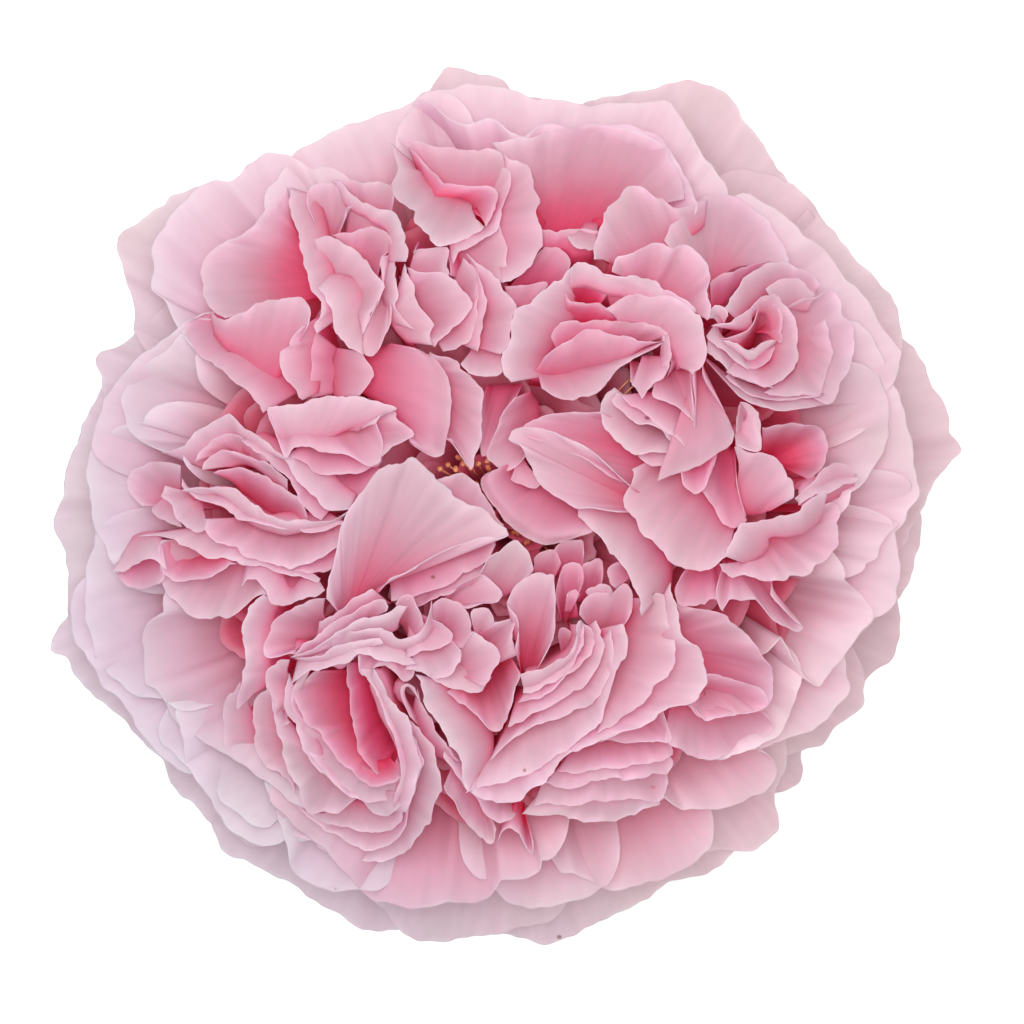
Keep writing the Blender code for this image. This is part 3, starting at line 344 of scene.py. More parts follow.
        (7.3, -7.9), (7.7, -7.5), (8.6, -7.3), (9.5, -7.4), (10, -7.8)]),
    ("rosette_folds_s", "slope", [(4.6, -9.6), (5.6, -9.8), (6.4, -9.4)], -1, 0.9, [
        (4.3, -8.6), (4.6, -7), (5, -5.6), (5.6, -4.9), (6.8, -5.4), (7.2, -6.6), (6.8, -7.6),
        (6.2, -8.6)]),
    ("rosette_folds_s", "slope", [(6.6, -7.8), (7.6, -7.8), (8.8, -7.4)], -1.5, 0.8, [
        (6.6, -7), (6.8, -6), (7.2, -5), (8, -4.8), (8.9, -4.9), (9.1, -6), (9, -7)]),
    ("rosette_folds_s", "slope", [(4.2, -5), (5.6, -5.2), (7.1, -5)], -2, 0.7, [
        (4.1, -4), (4.6, -3.3), (6.6, -2.6), (7.1, -3), (7.15, -4.2)]),
    ("rosette_folds_s", "ledge", [(5.4, -8.8), (6.4, -8.9)], -0.5, 0.6, [
        (5.5, -8.2), (5.8, -7.7), (6.4, -7.7), (6.7, -8.3)]),
    ("rosette_folds_s", "slope", [(2.2, -6), (3.2, -6.2), (4.4, -6.2)], -2, 0.7, [
        (2.2, -4.7), (3, -3.9), (4, -3.6), (4.6, -4.4), (4.9, -5.2)]),
    ("rosette_folds_s", "slope", [(11.2, -7), (11.4, -6.2), (11, -5)], 0, 0.45, [
        (10.4, -7.6), (9.8, -6.9), (9.4, -6), (9.7, -5.4), (10.4, -5)]),
    ("rosette_folds_s", "slope", [(4.8, -13.4), (6, -13)], -2, 0.6, [
        (4.6, -12.4), (4.8, -11.7), (5.4, -11.6), (6, -12)]),
    ("frills_e", "ledge", [(12.6, 5.9), (14.5, 6), (16.4, 6), (18, 6)], 1, 0.3, [
        (12.6, 5.4), (13.2, 4.9), (14.4, 4.7), (16, 4.7), (18, 5.3), (18.3, 5.8)]),
    ("frills_e", "slope", [(11, 11.8), (12, 10.2), (15, 8), (17.6, 6.2)], 2, 0.05, [
        (10.2, 12.4), (9.3, 11.5), (8.8, 10.5), (8.7, 9.8), (9, 9), (9.6, 8), (10.8, 6.6), (11.4, 6.1),
        (12.4, 5.8), (14, 5.9), (17, 5.8), (18, 5.7)]),
    ("frills_e", "ledge", [(11.8, 11.6), (12.8, 10.4), (16, 8.6), (17.4, 7.4)], 2.6, 0.15, [
        (10.4, 11.9), (10.2, 10.8), (12, 9), (13, 8.75), (14, 8.7), (16, 6.9), (17, 6.2)]),
    ("frills_e", "slope", [(14.3, 13), (16, 13.4), (17.8, 13.6)], 3, 0.5, [
        (14, 12), (14.2, 11.4), (15, 11), (16.2, 10.6), (17.6, 9.6), (18.2, 9), (17.9, 12.4)]),
    ("frills_e", "slope", [(12.4, 11.8), (13.6, 11.4), (14.4, 11.8), (16, 11.6), (17.8, 10.6)], 3, 0.6, [
        (10.8, 11.6), (13.2, 9.7), (15.4, 8), (16.6, 7), (17.8, 6.2)]),
    ("frills_e", "ledge", [(12.6, 14.5), (15.4, 14.4)], 3, 0.35, [
        (11.9, 12.6), (12.6, 12), (13, 11.4), (13.4, 12), (14.2, 12.8), (15, 13.2), (15.4, 14)]),
    ("fan_folds_e", "roll", [(18.3, 15), (19, 14.8)], 3, 0.35, [
        (17.8, 14), (18, 12), (18.3, 9.4), (18, 7.6), (18.2, 5.8), (17, 5), (15.4, 4.2), (14.4, 3.2),
        (15.6, 3.5), (18.8, 4.7), (20, 5.4), (20.6, 6), (21.4, 6.4), (22, 7), (22.1, 8), (21.4, 9.4),
        (19.6, 12.2), (19, 13.6)]),
    ("fan_folds_e", "slope", [(16.8, 4.2), (18.6, 4.8), (20.4, 5.8)], 1.5, 0.8, [
        (16.9, 3.6), (17.1, 2.6), (17.6, 2), (18.2, 1.8), (18.9, 2.2), (19.5, 3), (20.4, 5.4)]),
    ("fan_folds_e", "slope", [(20, 5), (21.4, 6), (22.3, 5)], -1, 0.85, [
        (19, 2.2), (21, -1), (22.2, -1.6), (23.4, -1), (22.8, 1), (22.4, 3)]),
    ("fan_petal_e2", "slope", [(13, 4.8), (15, 4), (17, 3.6), (17.6, 2), (19, 2), (20, 0), (22, -2.4)],
        2, 0.15, [
        (12, 4.3), (11.9, 3), (11.1, 1.2), (11.4, 0.2), (12, -0.6), (12.6, -1.2), (13, -2.2), (14, -3),
        (16, -5), (17, -5.7), (19, -5.8), (20, -5.5), (21.6, -4.4)]),
    ("fan_folds_e", "slope", [(22.6, 5), (23.2, 1.4), (24.6, 0.5), (26.6, 0.6)], 2, 0.25, [
        (22.2, 6.4), (24, 6), (25, 5.9), (26, 5.5), (27, 4.6), (27.8, 3.4), (28.1, 2.2), (28.1, 1.4)]),
    ("fan_folds_e", "ledge", [(23.2, 10.4), (23.8, 9.4), (23.6, 8.4), (22.3, 6.9)], 2.2, 0.2, [
        (22.6, 11.1), (23.6, 10.7), (24.4, 10), (24.8, 9), (24.9, 8), (24.8, 7), (24.5, 6),
        (23.4, 6.2), (22.3, 6.6)]),
    ("fan_folds_e", "ledge", [(22.4, 7.4), (23.4, 8.2), (23.8, 9.4)], 1, 0.8, [
        (22.35, 8.2), (22.5, 9.6), (22.7, 11), (23.3, 10.4)]),
    ("fan_petal_e1", "slope", [(22.6, -5), (24.4, -3.8), (28, -2), (29.4, -1.4), (30, -0.6)], 1.5, 0.3, [
        (20.6, -5.2), (21.8, -6.5), (22.6, -6.3), (24, -6.6), (27, -6.9), (28, -6.4), (29.6, -6.2),
        (30.4, -5.4), (31.2, -5), (32, -4), (32.6, -3), (32.8, -2), (32.5, -1), (32.8, 0), (32.4, 0.9),
        (31.6, 0.9), (31, 0.6)]),
    ("fan_folds_e", "ledge", [(22, -4.7), (23.8, -3.9), (24.8, -2.8), (25, -1.7), (27, -1.5), (29, -1),
        (30.4, 0), (31.3, 1)], 2.5, 0.08, [
        (21.2, -4.4), (21.7, -3), (22.4, -2), (23.2, -1.1), (26, -0.7), (27.4, -0.3), (28.6, 0.2),
        (29.4, 0.9), (30.6, 1.7), (31.5, 1.9)]),
    ("fan_folds_e", "ledge", [(28.6, 0.9), (31.4, 2.1), (33, 2.8), (34.4, 3.4)], 1.5, 0.4, [
        (28.2, 1.4), (29.8, 2.6), (30.4, 3.6), (31.2, 4.4), (32.2, 4.8), (33.2, 4.8), (34, 4.4),
        (34.5, 3.9)]),
    ("fan_folds_e", "ledge", [(28.6, 1.2), (30.4, 2.4), (32, 3), (34, 3.6)], 2, 0.1, [
        (28.6, 0.7), (30, 1.5), (31.6, 2), (33, 2.6), (34.2, 2.9), (34.9, 3.5)]),
    ("fan_folds_e", "steep", [(25, 7), (27, 6), (28.2, 4)], -2, 0.55, [
        (25, 8.5), (28, 8.8), (30.8, 8.4), (31.6, 5.6), (29.8, 3.2)]),
    ("folds_se", "slope", [(17.4, -5.6), (19, -5.6), (20.8, -5.6)], 0, 0.75, [
        (17, -6.2), (16.2, -7.8), (16.5, -9.1), (18, -9.3), (19.2, -9.3), (19.6, -8.8), (20.4, -8.8),
        (21, -9.8), (21.2, -9)]),
    ("folds_se", "slope", [(20.8, -6), (22.6, -6), (25, -6.3), (26, -6.6)], 0.6, 0.3, [
        (20.4, -7.6), (20.4, -8.6), (21, -9.8), (21.4, -9.2), (21.8, -8.8), (24, -8.7), (24.6, -9),
        (25.4, -10), (26.2, -10.8), (28.4, -12), (29, -11.8), (29.1, -11.4), (28, -10.6), (26.8, -9.4),
        (25.8, -8.2)]),
    ("cupped_petal_se", "slope", [(16.6, -9.8), (17, -12), (18.2, -13.4), (19, -15), (19.2, -17),
        (18.4, -18.8)], 0, 0.4, [
        (16.4, -9.2), (20, -9.9), (21.6, -10.6), (24, -12.9), (25, -14.2), (25.9, -15.8),
        (26.2, -17.2), (26, -18.8), (25, -19.7), (23.6, -20.1), (20.6, -20.5), (19.3, -20.8),
        (17.6, -19.3)]),
    ("folds_se", "slope", [(18.8, -16.8), (18.6, -18), (18, -19)], 0.8, 0.5, [
        (19.2, -16), (23, -17), (24.8, -17.7), (25.7, -18.7), (25.4, -19.6), (24, -20), (20.6, -20.5),
        (19.4, -20.8), (18.6, -20.2)]),
    ("folds_se", "slope", [(25.2, -20), (23, -20.2), (20.6, -20.8), (18.8, -20.6), (17.2, -20),
        (15.6, -20.4)], -0.5, 0.3, [
        (25.6, -20.4), (26.1, -21.4), (25.8, -22.2), (25, -22.9), (23.4, -23.7), (21.8, -24.3),
        (20.2, -24.7), (18.6, -24.6), (17.4, -24.2), (16.4, -23.4), (15.2, -22.8)]),
    ("strap_folds_s", "slope", [(9, -22), (12, -21), (15, -19.6)], -1.2, 0.4, [
        (8.6, -22.9), (12, -23), (15.6, -22.9), (15.8, -22), (15.2, -20.4)]),
    ("strap_folds_s", "slope", [(5.6, -24.2), (8, -23.6), (10.6, -23.2), (13, -22.8), (15.6, -23)],
        -2, 0.5, [
        (4.4, -26), (7, -26), (9.6, -25.6), (12, -25.4), (15.9, -24.5), (16, -23.6)]),
    ("strap_folds_s", "ledge", [(4.2, -26), (7, -25.7), (10, -25.4), (13, -25), (15.8, -24.4)],
        -2.2, 0.35, [
        (3.2, -27.1), (5, -27.6), (7, -27.4), (9, -26.7), (10.7, -26.5), (11.3, -27), (14, -26.2),
        (15.4, -26.3), (16, -25.6), (16, -24.8)]),
    ("strap_folds_s", "ledge", [(3, -27), (6, -27.2), (10, -26.6), (14, -26), (15.6, -26.6)], -2.4, 0.2, [
        (2.2, -29.2), (6.6, -29.3), (8.6, -28.9), (13, -28.8), (14.9, -29), (15.3, -28.2),
        (15.6, -27.2)]),
    ("strap_petal_s", "ledge", [(2, -29), (5, -29), (8, -28.6), (12, -28.5), (14.8, -28.6)], -2.4, 0.1, [
        (1, -30.2), (5, -30.4), (6.2, -30.6), (7.2, -31), (8.6, -31.1), (11.2, -30.6), (12.4, -30.3),
        (13.4, -29.6), (14.8, -29.2)]),
    ("cup_folds_sw", "steep", [(-15, -15), (-14, -17), (-13, -19.6), (-12, -22.4), (-11.3, -24.4)], -3, 1, [
        (-16.4, -15), (-16.4, -17.6), (-16, -20), (-15.8, -22), (-15.2, -24), (-14.2, -25.6),
        (-13, -26.4), (-12, -26.2), (-11.2, -25.4)]),
    ("cup_folds_sw", "steep", [(-17.5, -15.8), (-16.6, -18), (-16.2, -20.4), (-15.6, -23), (-14.4, -25.4),
        (-12.6, -26), (-11.4, -25.4)], -0.4, 0.6, [
        (-19.6, -15.9), (-20.8, -16.8), (-21.7, -18), (-21.4, -19.4), (-20.6, -21.2), (-19.4, -21.7),
        (-18.9, -22.8), (-17.6, -24.4), (-16, -26.1), (-14.4, -27.2), (-13, -27.4), (-11.6, -27),
        (-11, -25.8)]),
    ("cup_folds_sw", "ledge", [(-21.4, -18.4), (-20.9, -20.6), (-19.4, -22), (-18, -24.2), (-16, -26),
        (-14, -27), (-12, -27), (-11.1, -25.8)], 0, 0.2, [
        (-20.2, -15.9), (-21.4, -16.8), (-22, -17.8), (-22, -19), (-21.2, -22), (-20.8, -23.4),
        (-19.8, -24.8), (-18.6, -26.2), (-15.4, -28.6), (-13.8, -29), (-12.2, -28.9), (-11.2, -28),
        (-10.9, -26.4)]),
    ("cup_petal_sw2", "ledge", [(-21.9, -17), (-21.8, -19.6), (-21, -22), (-19.6, -24.6), (-17.4, -26.8),
        (-15, -28.4), (-12.6, -28.8), (-11.2, -28)], 0.6, 0.08, [
        (-22.3, -16), (-22.6, -18), (-22.7, -19.8), (-22, -20.8), (-21.5, -21.2), (-21.2, -22.6),
        (-20.7, -24.2), (-18, -27), (-16.2, -28.4), (-14.8, -29), (-14.2, -29.8), (-13, -30.4),
        (-12, -30.2), (-11, -29.4), (-10.8, -28)]),
    ("cup_folds_sw", "slope", [(-22.4, -20.6), (-21.6, -22.6), (-20.6, -24.8), (-18.8, -26.4), (-17, -28),
        (-15.8, -28.8)], 0.4, 0.03, [
        (-24, -18.6), (-23.9, -20), (-23.6, -21.4), (-23, -23), (-23, -24.4), (-21.8, -27),
        (-21.2, -28.4), (-20.9, -29.4), (-20.2, -30.3), (-19, -30.1), (-18, -30.2), (-17, -29.8),
        (-16.1, -29)]),
    ("cup_folds_sw", "slope", [(-19, -30.2), (-16.6, -29.8), (-12.6, -30.4), (-11, -29.6)], 0, 0.25, [
        (-20.6, -30.2), (-18, -31.4), (-15, -31.9), (-14, -32.2), (-12.6, -32), (-11.6, -31.4),
        (-10.9, -30.2), (-10.6, -28.6)]),
    ("cup_folds_sw", "slope", [(-20, -30.4), (-17.6, -31.4), (-15, -31.8), (-12.6, -32), (-11, -30.8),
        (-10.6, -28.6), (-10.2, -26), (-10.2, -24), (-10.8, -22)], 0, 0.2, [
        (-21.6, -29.4), (-20.4, -30.6), (-19, -31.8), (-17.4, -32.4), (-16.6, -33.2), (-15, -33.8),
        (-13.2, -33.8), (-11.8, -33), (-10.6, -31.2), (-10.2, -29), (-9, -25.8), (-9.1, -24.2),
        (-9.6, -22.6), (-10.3, -21)]),
    ("cup_petal_sw1", "slope", [(-21.8, -29.6), (-19.6, -31), (-17, -31.8), (-14, -32.4), (-11.6, -32),
        (-10.4, -30), (-10, -27.6), (-9.4, -25.6), (-9.6, -23.4), (-10.2, -21.4)], -0.6, 0.1, [
        (-23.8, -29.8), (-23, -31), (-21.8, -32.4), (-20.4, -33), (-17.6, -34.6), (-16, -34.9),
        (-14.6, -34.9), (-13.2, -35.2), (-12, -34.8), (-9.8, -33.2), (-8.7, -31.4), (-8.2, -31),
        (-8, -30), (-7.6, -29.2), (-7.3, -28.2), (-7.1, -27), (-7.3, -25.6), (-7.8, -23.8),
        (-8.6, -22.4), (-9.6, -21.2), (-10.2, -20.8)]),
    ("cup_folds_sw", "ledge", [(-14.2, -15.6), (-13.4, -16.8), (-12.6, -19), (-11.6, -21.2),
        (-10.7, -23.4), (-10.5, -25.6), (-10.9, -27.8), (-11.8, -29.6)], 1, 0.3, [
        (-15.2, -15.6), (-14.9, -16.2), (-14.1, -16.9), (-12.6, -20.4), (-11.3, -24), (-11.1, -25.6),
        (-11.3, -27.2), (-11.8, -28.8)]),
    ("cup_folds_sw", "ledge", [(-13.9, -16), (-12.4, -19.4), (-11.2, -21.6), (-10.4, -23.6), (-10.2, -26),
        (-11.2, -30)], 1.6, 0.1, [
        (-13.8, -15.5), (-13.4, -16), (-12.6, -18), (-11.8, -19), (-11, -19.8), (-10.3, -20.9),
        (-9.4, -24), (-9.2, -25.6), (-9.6, -27.4), (-10.6, -30)]),
    ("cup_folds_sw", "ledge", [(-10, -20.6), (-10.8, -17.8), (-10.5, -17.3), (-9.9, -17.8)], 0, 0.3, [
        (-10.2, -20.4), (-10.8, -19), (-11.1, -17.8), (-10.8, -17.1), (-10.3, -17), (-9.7, -17.6),
        (-9.3, -18.6)]),
    ("cup_folds_sw", "slope", [(-9.9, -19.6), (-9, -21.6), (-8, -23), (-7, -24.6)], -0.6, 0.85, [
        (-9.4, -17.6), (-9.1, -18.8), (-8.3, -20.4), (-6.2, -23.8), (-5.2, -25)]),
    ("rosette_folds_s", "slope", [(-8.6, -16.4), (-5.6, -19.4), (-4, -20.8), (-3, -22.6), (-3, -24.8),
        (-3.8, -27)], 2, 0.02, [
        (-9.6, -16.2), (-9.1, -17), (-9, -18), (-8.2, -19.9), (-6.8, -22), (-5.5, -24.2), (-5, -25.2),
        (-4.9, -26.4), (-4.7, -27.4), (-4.3, -28)]),
    ("strap_folds_s", "slope", [(-6.4, -26.4), (-5, -27.6), (-2.6, -30.6), (-1.8, -31.2)], -2, 0.3, [
        (-6.8, -27.4), (-5, -30.4), (-4, -31.7), (-3, -32.8), (-2, -33.1), (-1.6, -31.8)]),
    ("ribbon_folds_sw", "slope", [(-18.8, -9.6), (-19.4, -11.4), (-20, -12.4), (-21.6, -13.8)], 0.5, 0.55, [
        (-18.6, -8.4), (-22, -9.6), (-23.4, -10.6), (-24.2, -11.8), (-24.7, -13), (-24.9, -13.9),
        (-24.2, -14.5), (-23.2, -14.4), (-22.4, -14.2), (-21.6, -14.2)]),
    ("ribbon_folds_sw", "slope", [(-19.4, -12), (-16, -10), (-14.4, -9), (-13, -8.4)], 1, 0.4, [
        (-19.2, -11), (-18, -10.4), (-16.8, -9.4), (-14, -7.6)]),
    ("ribbon_folds_sw", "slope", [(-20.4, -14), (-18.4, -13), (-16.6, -11.6), (-14.8, -10.6),
        (-12.8, -10)], 1.2, 0.35, [
        (-21.8, -14.3), (-20.4, -13), (-17.6, -10.9), (-14.4, -9.2), (-13, -8.6), (-12.3, -9.2),
        (-12.4, -9.8)]),
    ("ribbon_folds_sw", "ledge", [(-20, -14.3), (-18, -13.4), (-16, -12), (-12, -10.8), (-10.8, -10)],
        1.8, 0.05, [
        (-22, -14.5), (-20, -13.7), (-18.4, -12.8), (-16.8, -11.5), (-15, -10.7), (-13, -10.2),
        (-11.6, -9.6), (-10.4, -9.4)]),
    ("ribbon_folds_sw", "ledge", [(-18, -13.6), (-16, -12.7), (-14, -12.3), (-11, -13.2), (-9.4, -13),
        (-8.4, -12), (-7.8, -10.6)], 1.2, 0.12, [
        (-18, -12.8), (-16.6, -12), (-15, -11.7), (-13.4, -11.6), (-12.2, -12), (-11.2, -12.5),
        (-10, -12.5), (-9, -11.8), (-8.4, -10.6), (-8, -9)]),
    ("ribbon_folds_sw", "ledge", [(-20, -15), (-18, -14.8), (-16, -14), (-14, -13.4)], 1.6, 0.1, [
        (-21.6, -14.6), (-20, -14.5), (-18.6, -14), (-17.4, -13.4), (-16, -12.9), (-14.6, -12.7),
        (-13.4, -12.7), (-12.7, -13.1)]),
    ("ribbon_folds_sw", "ledge", [(-21.6, -15.6), (-20, -14.9), (-18, -14.6), (-16, -13.6), (-14, -13.2),
        (-12, -13.6), (-10.4, -14.2)], 1.5, 0.06, [
        (-22, -17.2), (-20, -15.8), (-17.2, -15.3), (-16, -14.8), (-15.3, -14), (-13.4, -14.8),
        (-12, -14.8), (-11, -15.2), (-10, -15.3), (-9.4, -15.2)]),
    ("ribbon_folds_sw", "slope", [(-15, -14), (-12.6, -14.4), (-10, -15.2)], 0.5, 0.35, [
        (-15.4, -14.4), (-15.2, -16), (-14.2, -16.3), (-13.8, -15.5), (-12.6, -15.5), (-11.6, -16),
        (-10.8, -16.8), (-10, -16.6), (-9.6, -15.6)]),
    ("ribbon_folds_sw", "slope", [(-11.4, -10), (-10.6, -10.6), (-9.8, -11.6), (-9.2, -12.2)], 0.5, 0.45, [
        (-11.6, -9), (-11.2, -8.4), (-10.6, -8.2), (-10, -8.4), (-9.2, -10), (-8.7, -10.8),
        (-8.7, -11.6)]),
    ("cup_folds_sw", "slope", [(-24.2, -8.6), (-24.8, -10.4), (-25, -12.6), (-25.4, -17), (-26.4, -18.8)],
        1, 0.1, [
        (-24.8, -8.3), (-25.7, -9), (-26.5, -10), (-26.9, -11.2), (-26.7, -14.4), (-26.8, -16.4),
        (-27.3, -17.8), (-27.6, -19), (-27.4, -19.8)]),
    ("cup_folds_sw", "slope", [(-22.4, -15.6), (-22.8, -17.4), (-22.8, -19.4), (-22.4, -20.8)], 0, 0.3, [
        (-22.2, -14.8), (-23.4, -15), (-24.4, -15.6), (-24.7, -16.4), (-24.5, -17.4), (-24, -18.4),
        (-23.6, -21.2), (-22.8, -21.3), (-22.2, -21)]),
    ("cup_folds_sw", "slope", [(-24, -18.6), (-24, -21), (-23.6, -23.4), (-21.8, -27.2)], -0.4, 0.2, [
        (-24.4, -17.6), (-25.4, -18.2), (-25.8, -19.6), (-25.9, -21.4), (-25.7, -23), (-25.3, -24.6),
        (-24.4, -25.8), (-23.2, -26), (-22.4, -27), (-21.6, -28.4)]),
    ("cup_folds_sw", "slope", [(-26.6, -18.6), (-26.6, -21), (-26, -23.6), (-25, -25.4), (-23.6, -26.6),
        (-22.2, -28.2)], -0.6, 0.12, [
        (-27.2, -17), (-28.2, -18.2), (-28.8, -19.4), (-29, -21), (-28.9, -22.6), (-28.4, -24),
        (-27.4, -25), (-25, -26.6), (-22.8, -28.4), (-22, -29.3)]),
    ("swirl_folds_w", "ledge", [(-16, 0.8), (-17.6, 2), (-19, 3.4), (-22.6, 5.4)], 2.4, 0.02, [
        (-16.3, 0.2), (-17.6, 0.1), (-18.8, 0.6), (-20, 1.7), (-21.2, 3), (-22.8, 5.2)]),
    ("swirl_folds_w", "slope", [(-26, 7.6), (-24, 6.4), (-22.4, 4.6), (-21, 2.4), (-19.6, 1.2),
        (-18, 0.4)], 1.6, 0.4, [
        (-27, 7.2), (-25, 5.6), (-23, 4), (-22.2, 3.2), (-21.6, 2), (-20, -0.3), (-19, -0.8)]),
    ("swirl_folds_w", "ledge", [(-29.4, 4.4), (-28, 5.2), (-26.4, 5), (-23.6, 3.6), (-22.4, 2.8)],
        1.2, 0.35, [
        (-31, 4.2), (-30.6, 5), (-30, 5.8), (-29, 6.15), (-28, 6.05), (-26.8, 5.75), (-24.6, 4.9),
        (-22.4, 3.3)]),
    ("swirl_folds_w", "steep", [(-28.6, 3.4), (-27, 2.4), (-24.4, -0.3), (-22.6, -0.7), (-20.6, -0.8)],
        0.8, 0.6, [
        (-30, 4), (-27, 4.4), (-26, 4.2), (-23.8, 3), (-22.6, 2.4), (-21.6, 1.6), (-20.8, 0.6),
        (-20.2, -0.5)]),
    ("swirl_folds_w", "ledge", [(-31.6, 1.8), (-30, 2), (-28.4, 1.4), (-27, 0.4), (-24, -1), (-19.6, -1.3),
        (-17.2, -0.9)], 1.8, 0.03, [
        (-33, 2.2), (-30.6, 2.5), (-29.4, 2.55), (-28.4, 2.45), (-27.4, 2.1), (-25.4, 0.6),
        (-24.6, -0.2), (-23.4, -0.6), (-22, -0.8), (-18.4, -0.9), (-17, -0.4), (-16.4, 0)]),
    ("swirl_folds_w", "slope", [(-32.4, 2.2), (-30.4, 2.2), (-28.6, 1.6), (-25.6, -0.6), (-23.8, -1),
        (-21.6, -1.1), (-19, -1.1), (-17, -0.8)], 1, 0.2, [
        (-33, 3.4), (-33, 2.6), (-32.4, 1.9), (-31.4, 1.4), (-29, 0.5), (-26.8, -0.8), (-23.4, -1.5),
        (-21.6, -1.9), (-20, -2), (-18.4, -1.8), (-16.5, -1.1)]),
    ("swirl_petal_w2", "slope", [(-28.4, -0.6), (-26.4, -1.2), (-24, -1.8), (-21.6, -2.2), (-19, -2.2),
        (-17, -1.8)], 1, 0.35, [
        (-30.8, -0.7), (-30.5, -1.8), (-29.8, -2.8), (-28.4, -3.4), (-27.4, -3.6), (-26.8, -4.2),
        (-25.4, -4.9), (-22.6, -5.4), (-21.8, -5.7), (-19.6, -4.8), (-17.6, -3.7), (-17, -3.6),
        (-16.8, -2.6)]),
    ("swirl_folds_w", "slope", [(-33.2, 2.2), (-32.6, 1.2), (-31.6, 0), (-30.6, -0.8)], 0.5, 0.1, [
        (-34.6, 2.6), (-35.2, 1.6), (-34.4, 1), (-33.8, 0.2), (-33.4, -0.8), (-32.6, -1.6),
        (-31.6, -2), (-30.6, -1.8), (-30.4, -1.6)]),
    ("swirl_folds_w", "ledge", [(-35, -2), (-33, -1.9), (-31.4, -2.2), (-27.6, -3.8), (-25.6, -5),
        (-22.6, -5.6), (-20, -6)], 0.6, 0.12, [
        (-37.4, -2.4), (-35.4, -2.4), (-34, -2.6), (-33, -3.3), (-30.6, -4.4), (-29.6, -4.7),
        (-28.8, -4.6), (-27.6, -5), (-24.6, -5.6), (-23.4, -6), (-20.6, -6.6), (-19.6, -7),
        (-19.2, -6.6)]),
    ("swirl_folds_w", "slope", [(-34.4, -2.8), (-30.6, -4.4), (-28, -5), (-26, -5.4), (-25, -6.4),
        (-24.6, -7.6)], -0.4, 0.15, [
        (-35.2, -2.8), (-35.4, -5), (-35, -7.2), (-34.4, -8.2), (-33.6, -9.2), (-31.8, -10.5),
        (-30, -10.7), (-29.4, -10.5), (-28.4, -10.5), (-27.4, -10), (-26.6, -9.4), (-25.8, -8.6),
        (-25, -8.2), (-24.5, -8.1)]),
    ("swirl_folds_w", "steep", [(-34, -2.8), (-31.6, -4.2), (-29, -4.8), (-27.8, -5.1)], 0.3, 0.5, [
        (-35.3, -3.4), (-35.3, -5.2), (-34.6, -6.5), (-33, -6.9), (-31.4, -6.8), (-30, -6.4),
        (-28.8, -5.7), (-27.4, -5.2)]),
    ("swirl_folds_w", "ledge", [(-26.6, -5.6), (-25, -5.6), (-24, -6.2), (-22.4, -8.6), (-20.6, -7.6),
        (-19, -7.2)], 0.8, 0.3, [
        (-27, -7.6), (-26.6, -6.8), (-26, -6.6), (-25.2, -7), (-24.2, -8.8), (-23.4, -9.2),
        (-22.4, -9.3), (-20, -8.4), (-18.6, -7.9)]),
    ("swirl_folds_w", "slope", [(-23.6, -6.2), (-22, -6.5), (-20.4, -6.9), (-19.2, -7)], -0.8, 0.9, [
        (-23.4, -7.8), (-22.6, -8.8), (-21.4, -8.7), (-18.7, -7.8)]),
    ("swirl_folds_w", "slope", [(-21.4, -5.2), (-19.8, -4.6), (-18, -4), (-17, -3.8)], 0, 0.7, [
        (-22, -5.9), (-20.6, -6.1), (-19, -5.9), (-17.8, -5.6), (-17.2, -4.8)]),
    ("swirl_folds_w", "slope", [(-33.2, 3.2), (-34.6, 2.8), (-35.2, 1.8), (-36.2, 0.6)], -2, 0.3, [
        (-33.2, 4.8), (-36, 5), (-37.4, 4.6), (-38.4, 3.6), (-38.6, 2.4), (-38, 1.4), (-37, 0.6)]),
    ("swirl_folds_w", "slope", [(-35.2, 1.2), (-34.2, 0.6), (-33.6, -0.4)], -1, 0.35, [
        (-36, 0.5), (-35.8, -0.2), (-35, -0.8), (-34, -1.3), (-33, -1.5)]),
    ("heart_tongues", "ledge", [(-23.6, 8), (-21, 7.6), (-18.6, 7.8), (-16, 8.5), (-14, 8.7)], 4.5, 0.08, [
        (-24.2, 9.4), (-24.4, 10.3), (-24, 10.6), (-22.8, 10.5), (-19.4, 11.3), (-17, 11.6),
        (-15.2, 11.4), (-12.8, 10.9), (-12, 10.6), (-11.5, 10.1), (-12.4, 10), (-13.2, 9.4),
        (-13.5, 8.8)]),
    ("heart_tongues", "slope", [(-24, 9), (-22, 8.6), (-18, 8.4), (-13.8, 9.2)], 3.2, 0.4, [
        (-23.4, 7.4), (-22.6, 5.4), (-22, 6.2), (-21.2, 6.5), (-18, 5.9), (-16.3, 5.6), (-14.2, 4.6),
        (-13.4, 4.6), (-13, 5.3), (-12.9, 6.8), (-13.4, 8.6)]),
    ("heart_tongues", "slope", [(-21.8, 6), (-19.5, 6.4), (-17, 6.2), (-14.5, 5.6), (-12.9, 5.6)],
        1.6, 0.6, [
        (-22.2, 5.6), (-21, 5), (-19.8, 4.2), (-18.8, 3.7), (-17, 3.7), (-13.9, 4.3), (-13, 4.9)]),
    ("fold_petal_nw1", "slope", [(-30.4, 20), (-29, 18.6), (-27, 17), (-25, 15), (-23.4, 13), (-22, 11.6)],
        0, 0.45, [
        (-32.6, 19), (-32.7, 17.9), (-32.2, 16.9), (-31.4, 15.9), (-28.6, 13.8), (-27, 12.5),
        (-25.6, 11.1), (-24.7, 10)]),
    ("folds_nw", "slope", [(-20.1, 19), (-20, 15), (-20.2, 13), (-20.4, 11.4)], 1.5, 0.25, [
        (-21.2, 18.3), (-21.9, 17.4), (-22.1, 16.6), (-23, 16.1), (-23.3, 15.3), (-23.1, 14.3),
        (-21.6, 12.1), (-21, 11.1)]),
    ("folds_nw", "slope", [(-30, 18.8), (-28, 17), (-26, 15.2), (-24.2, 14), (-23, 14.6), (-21, 17.4)],
        2, 0.45, [
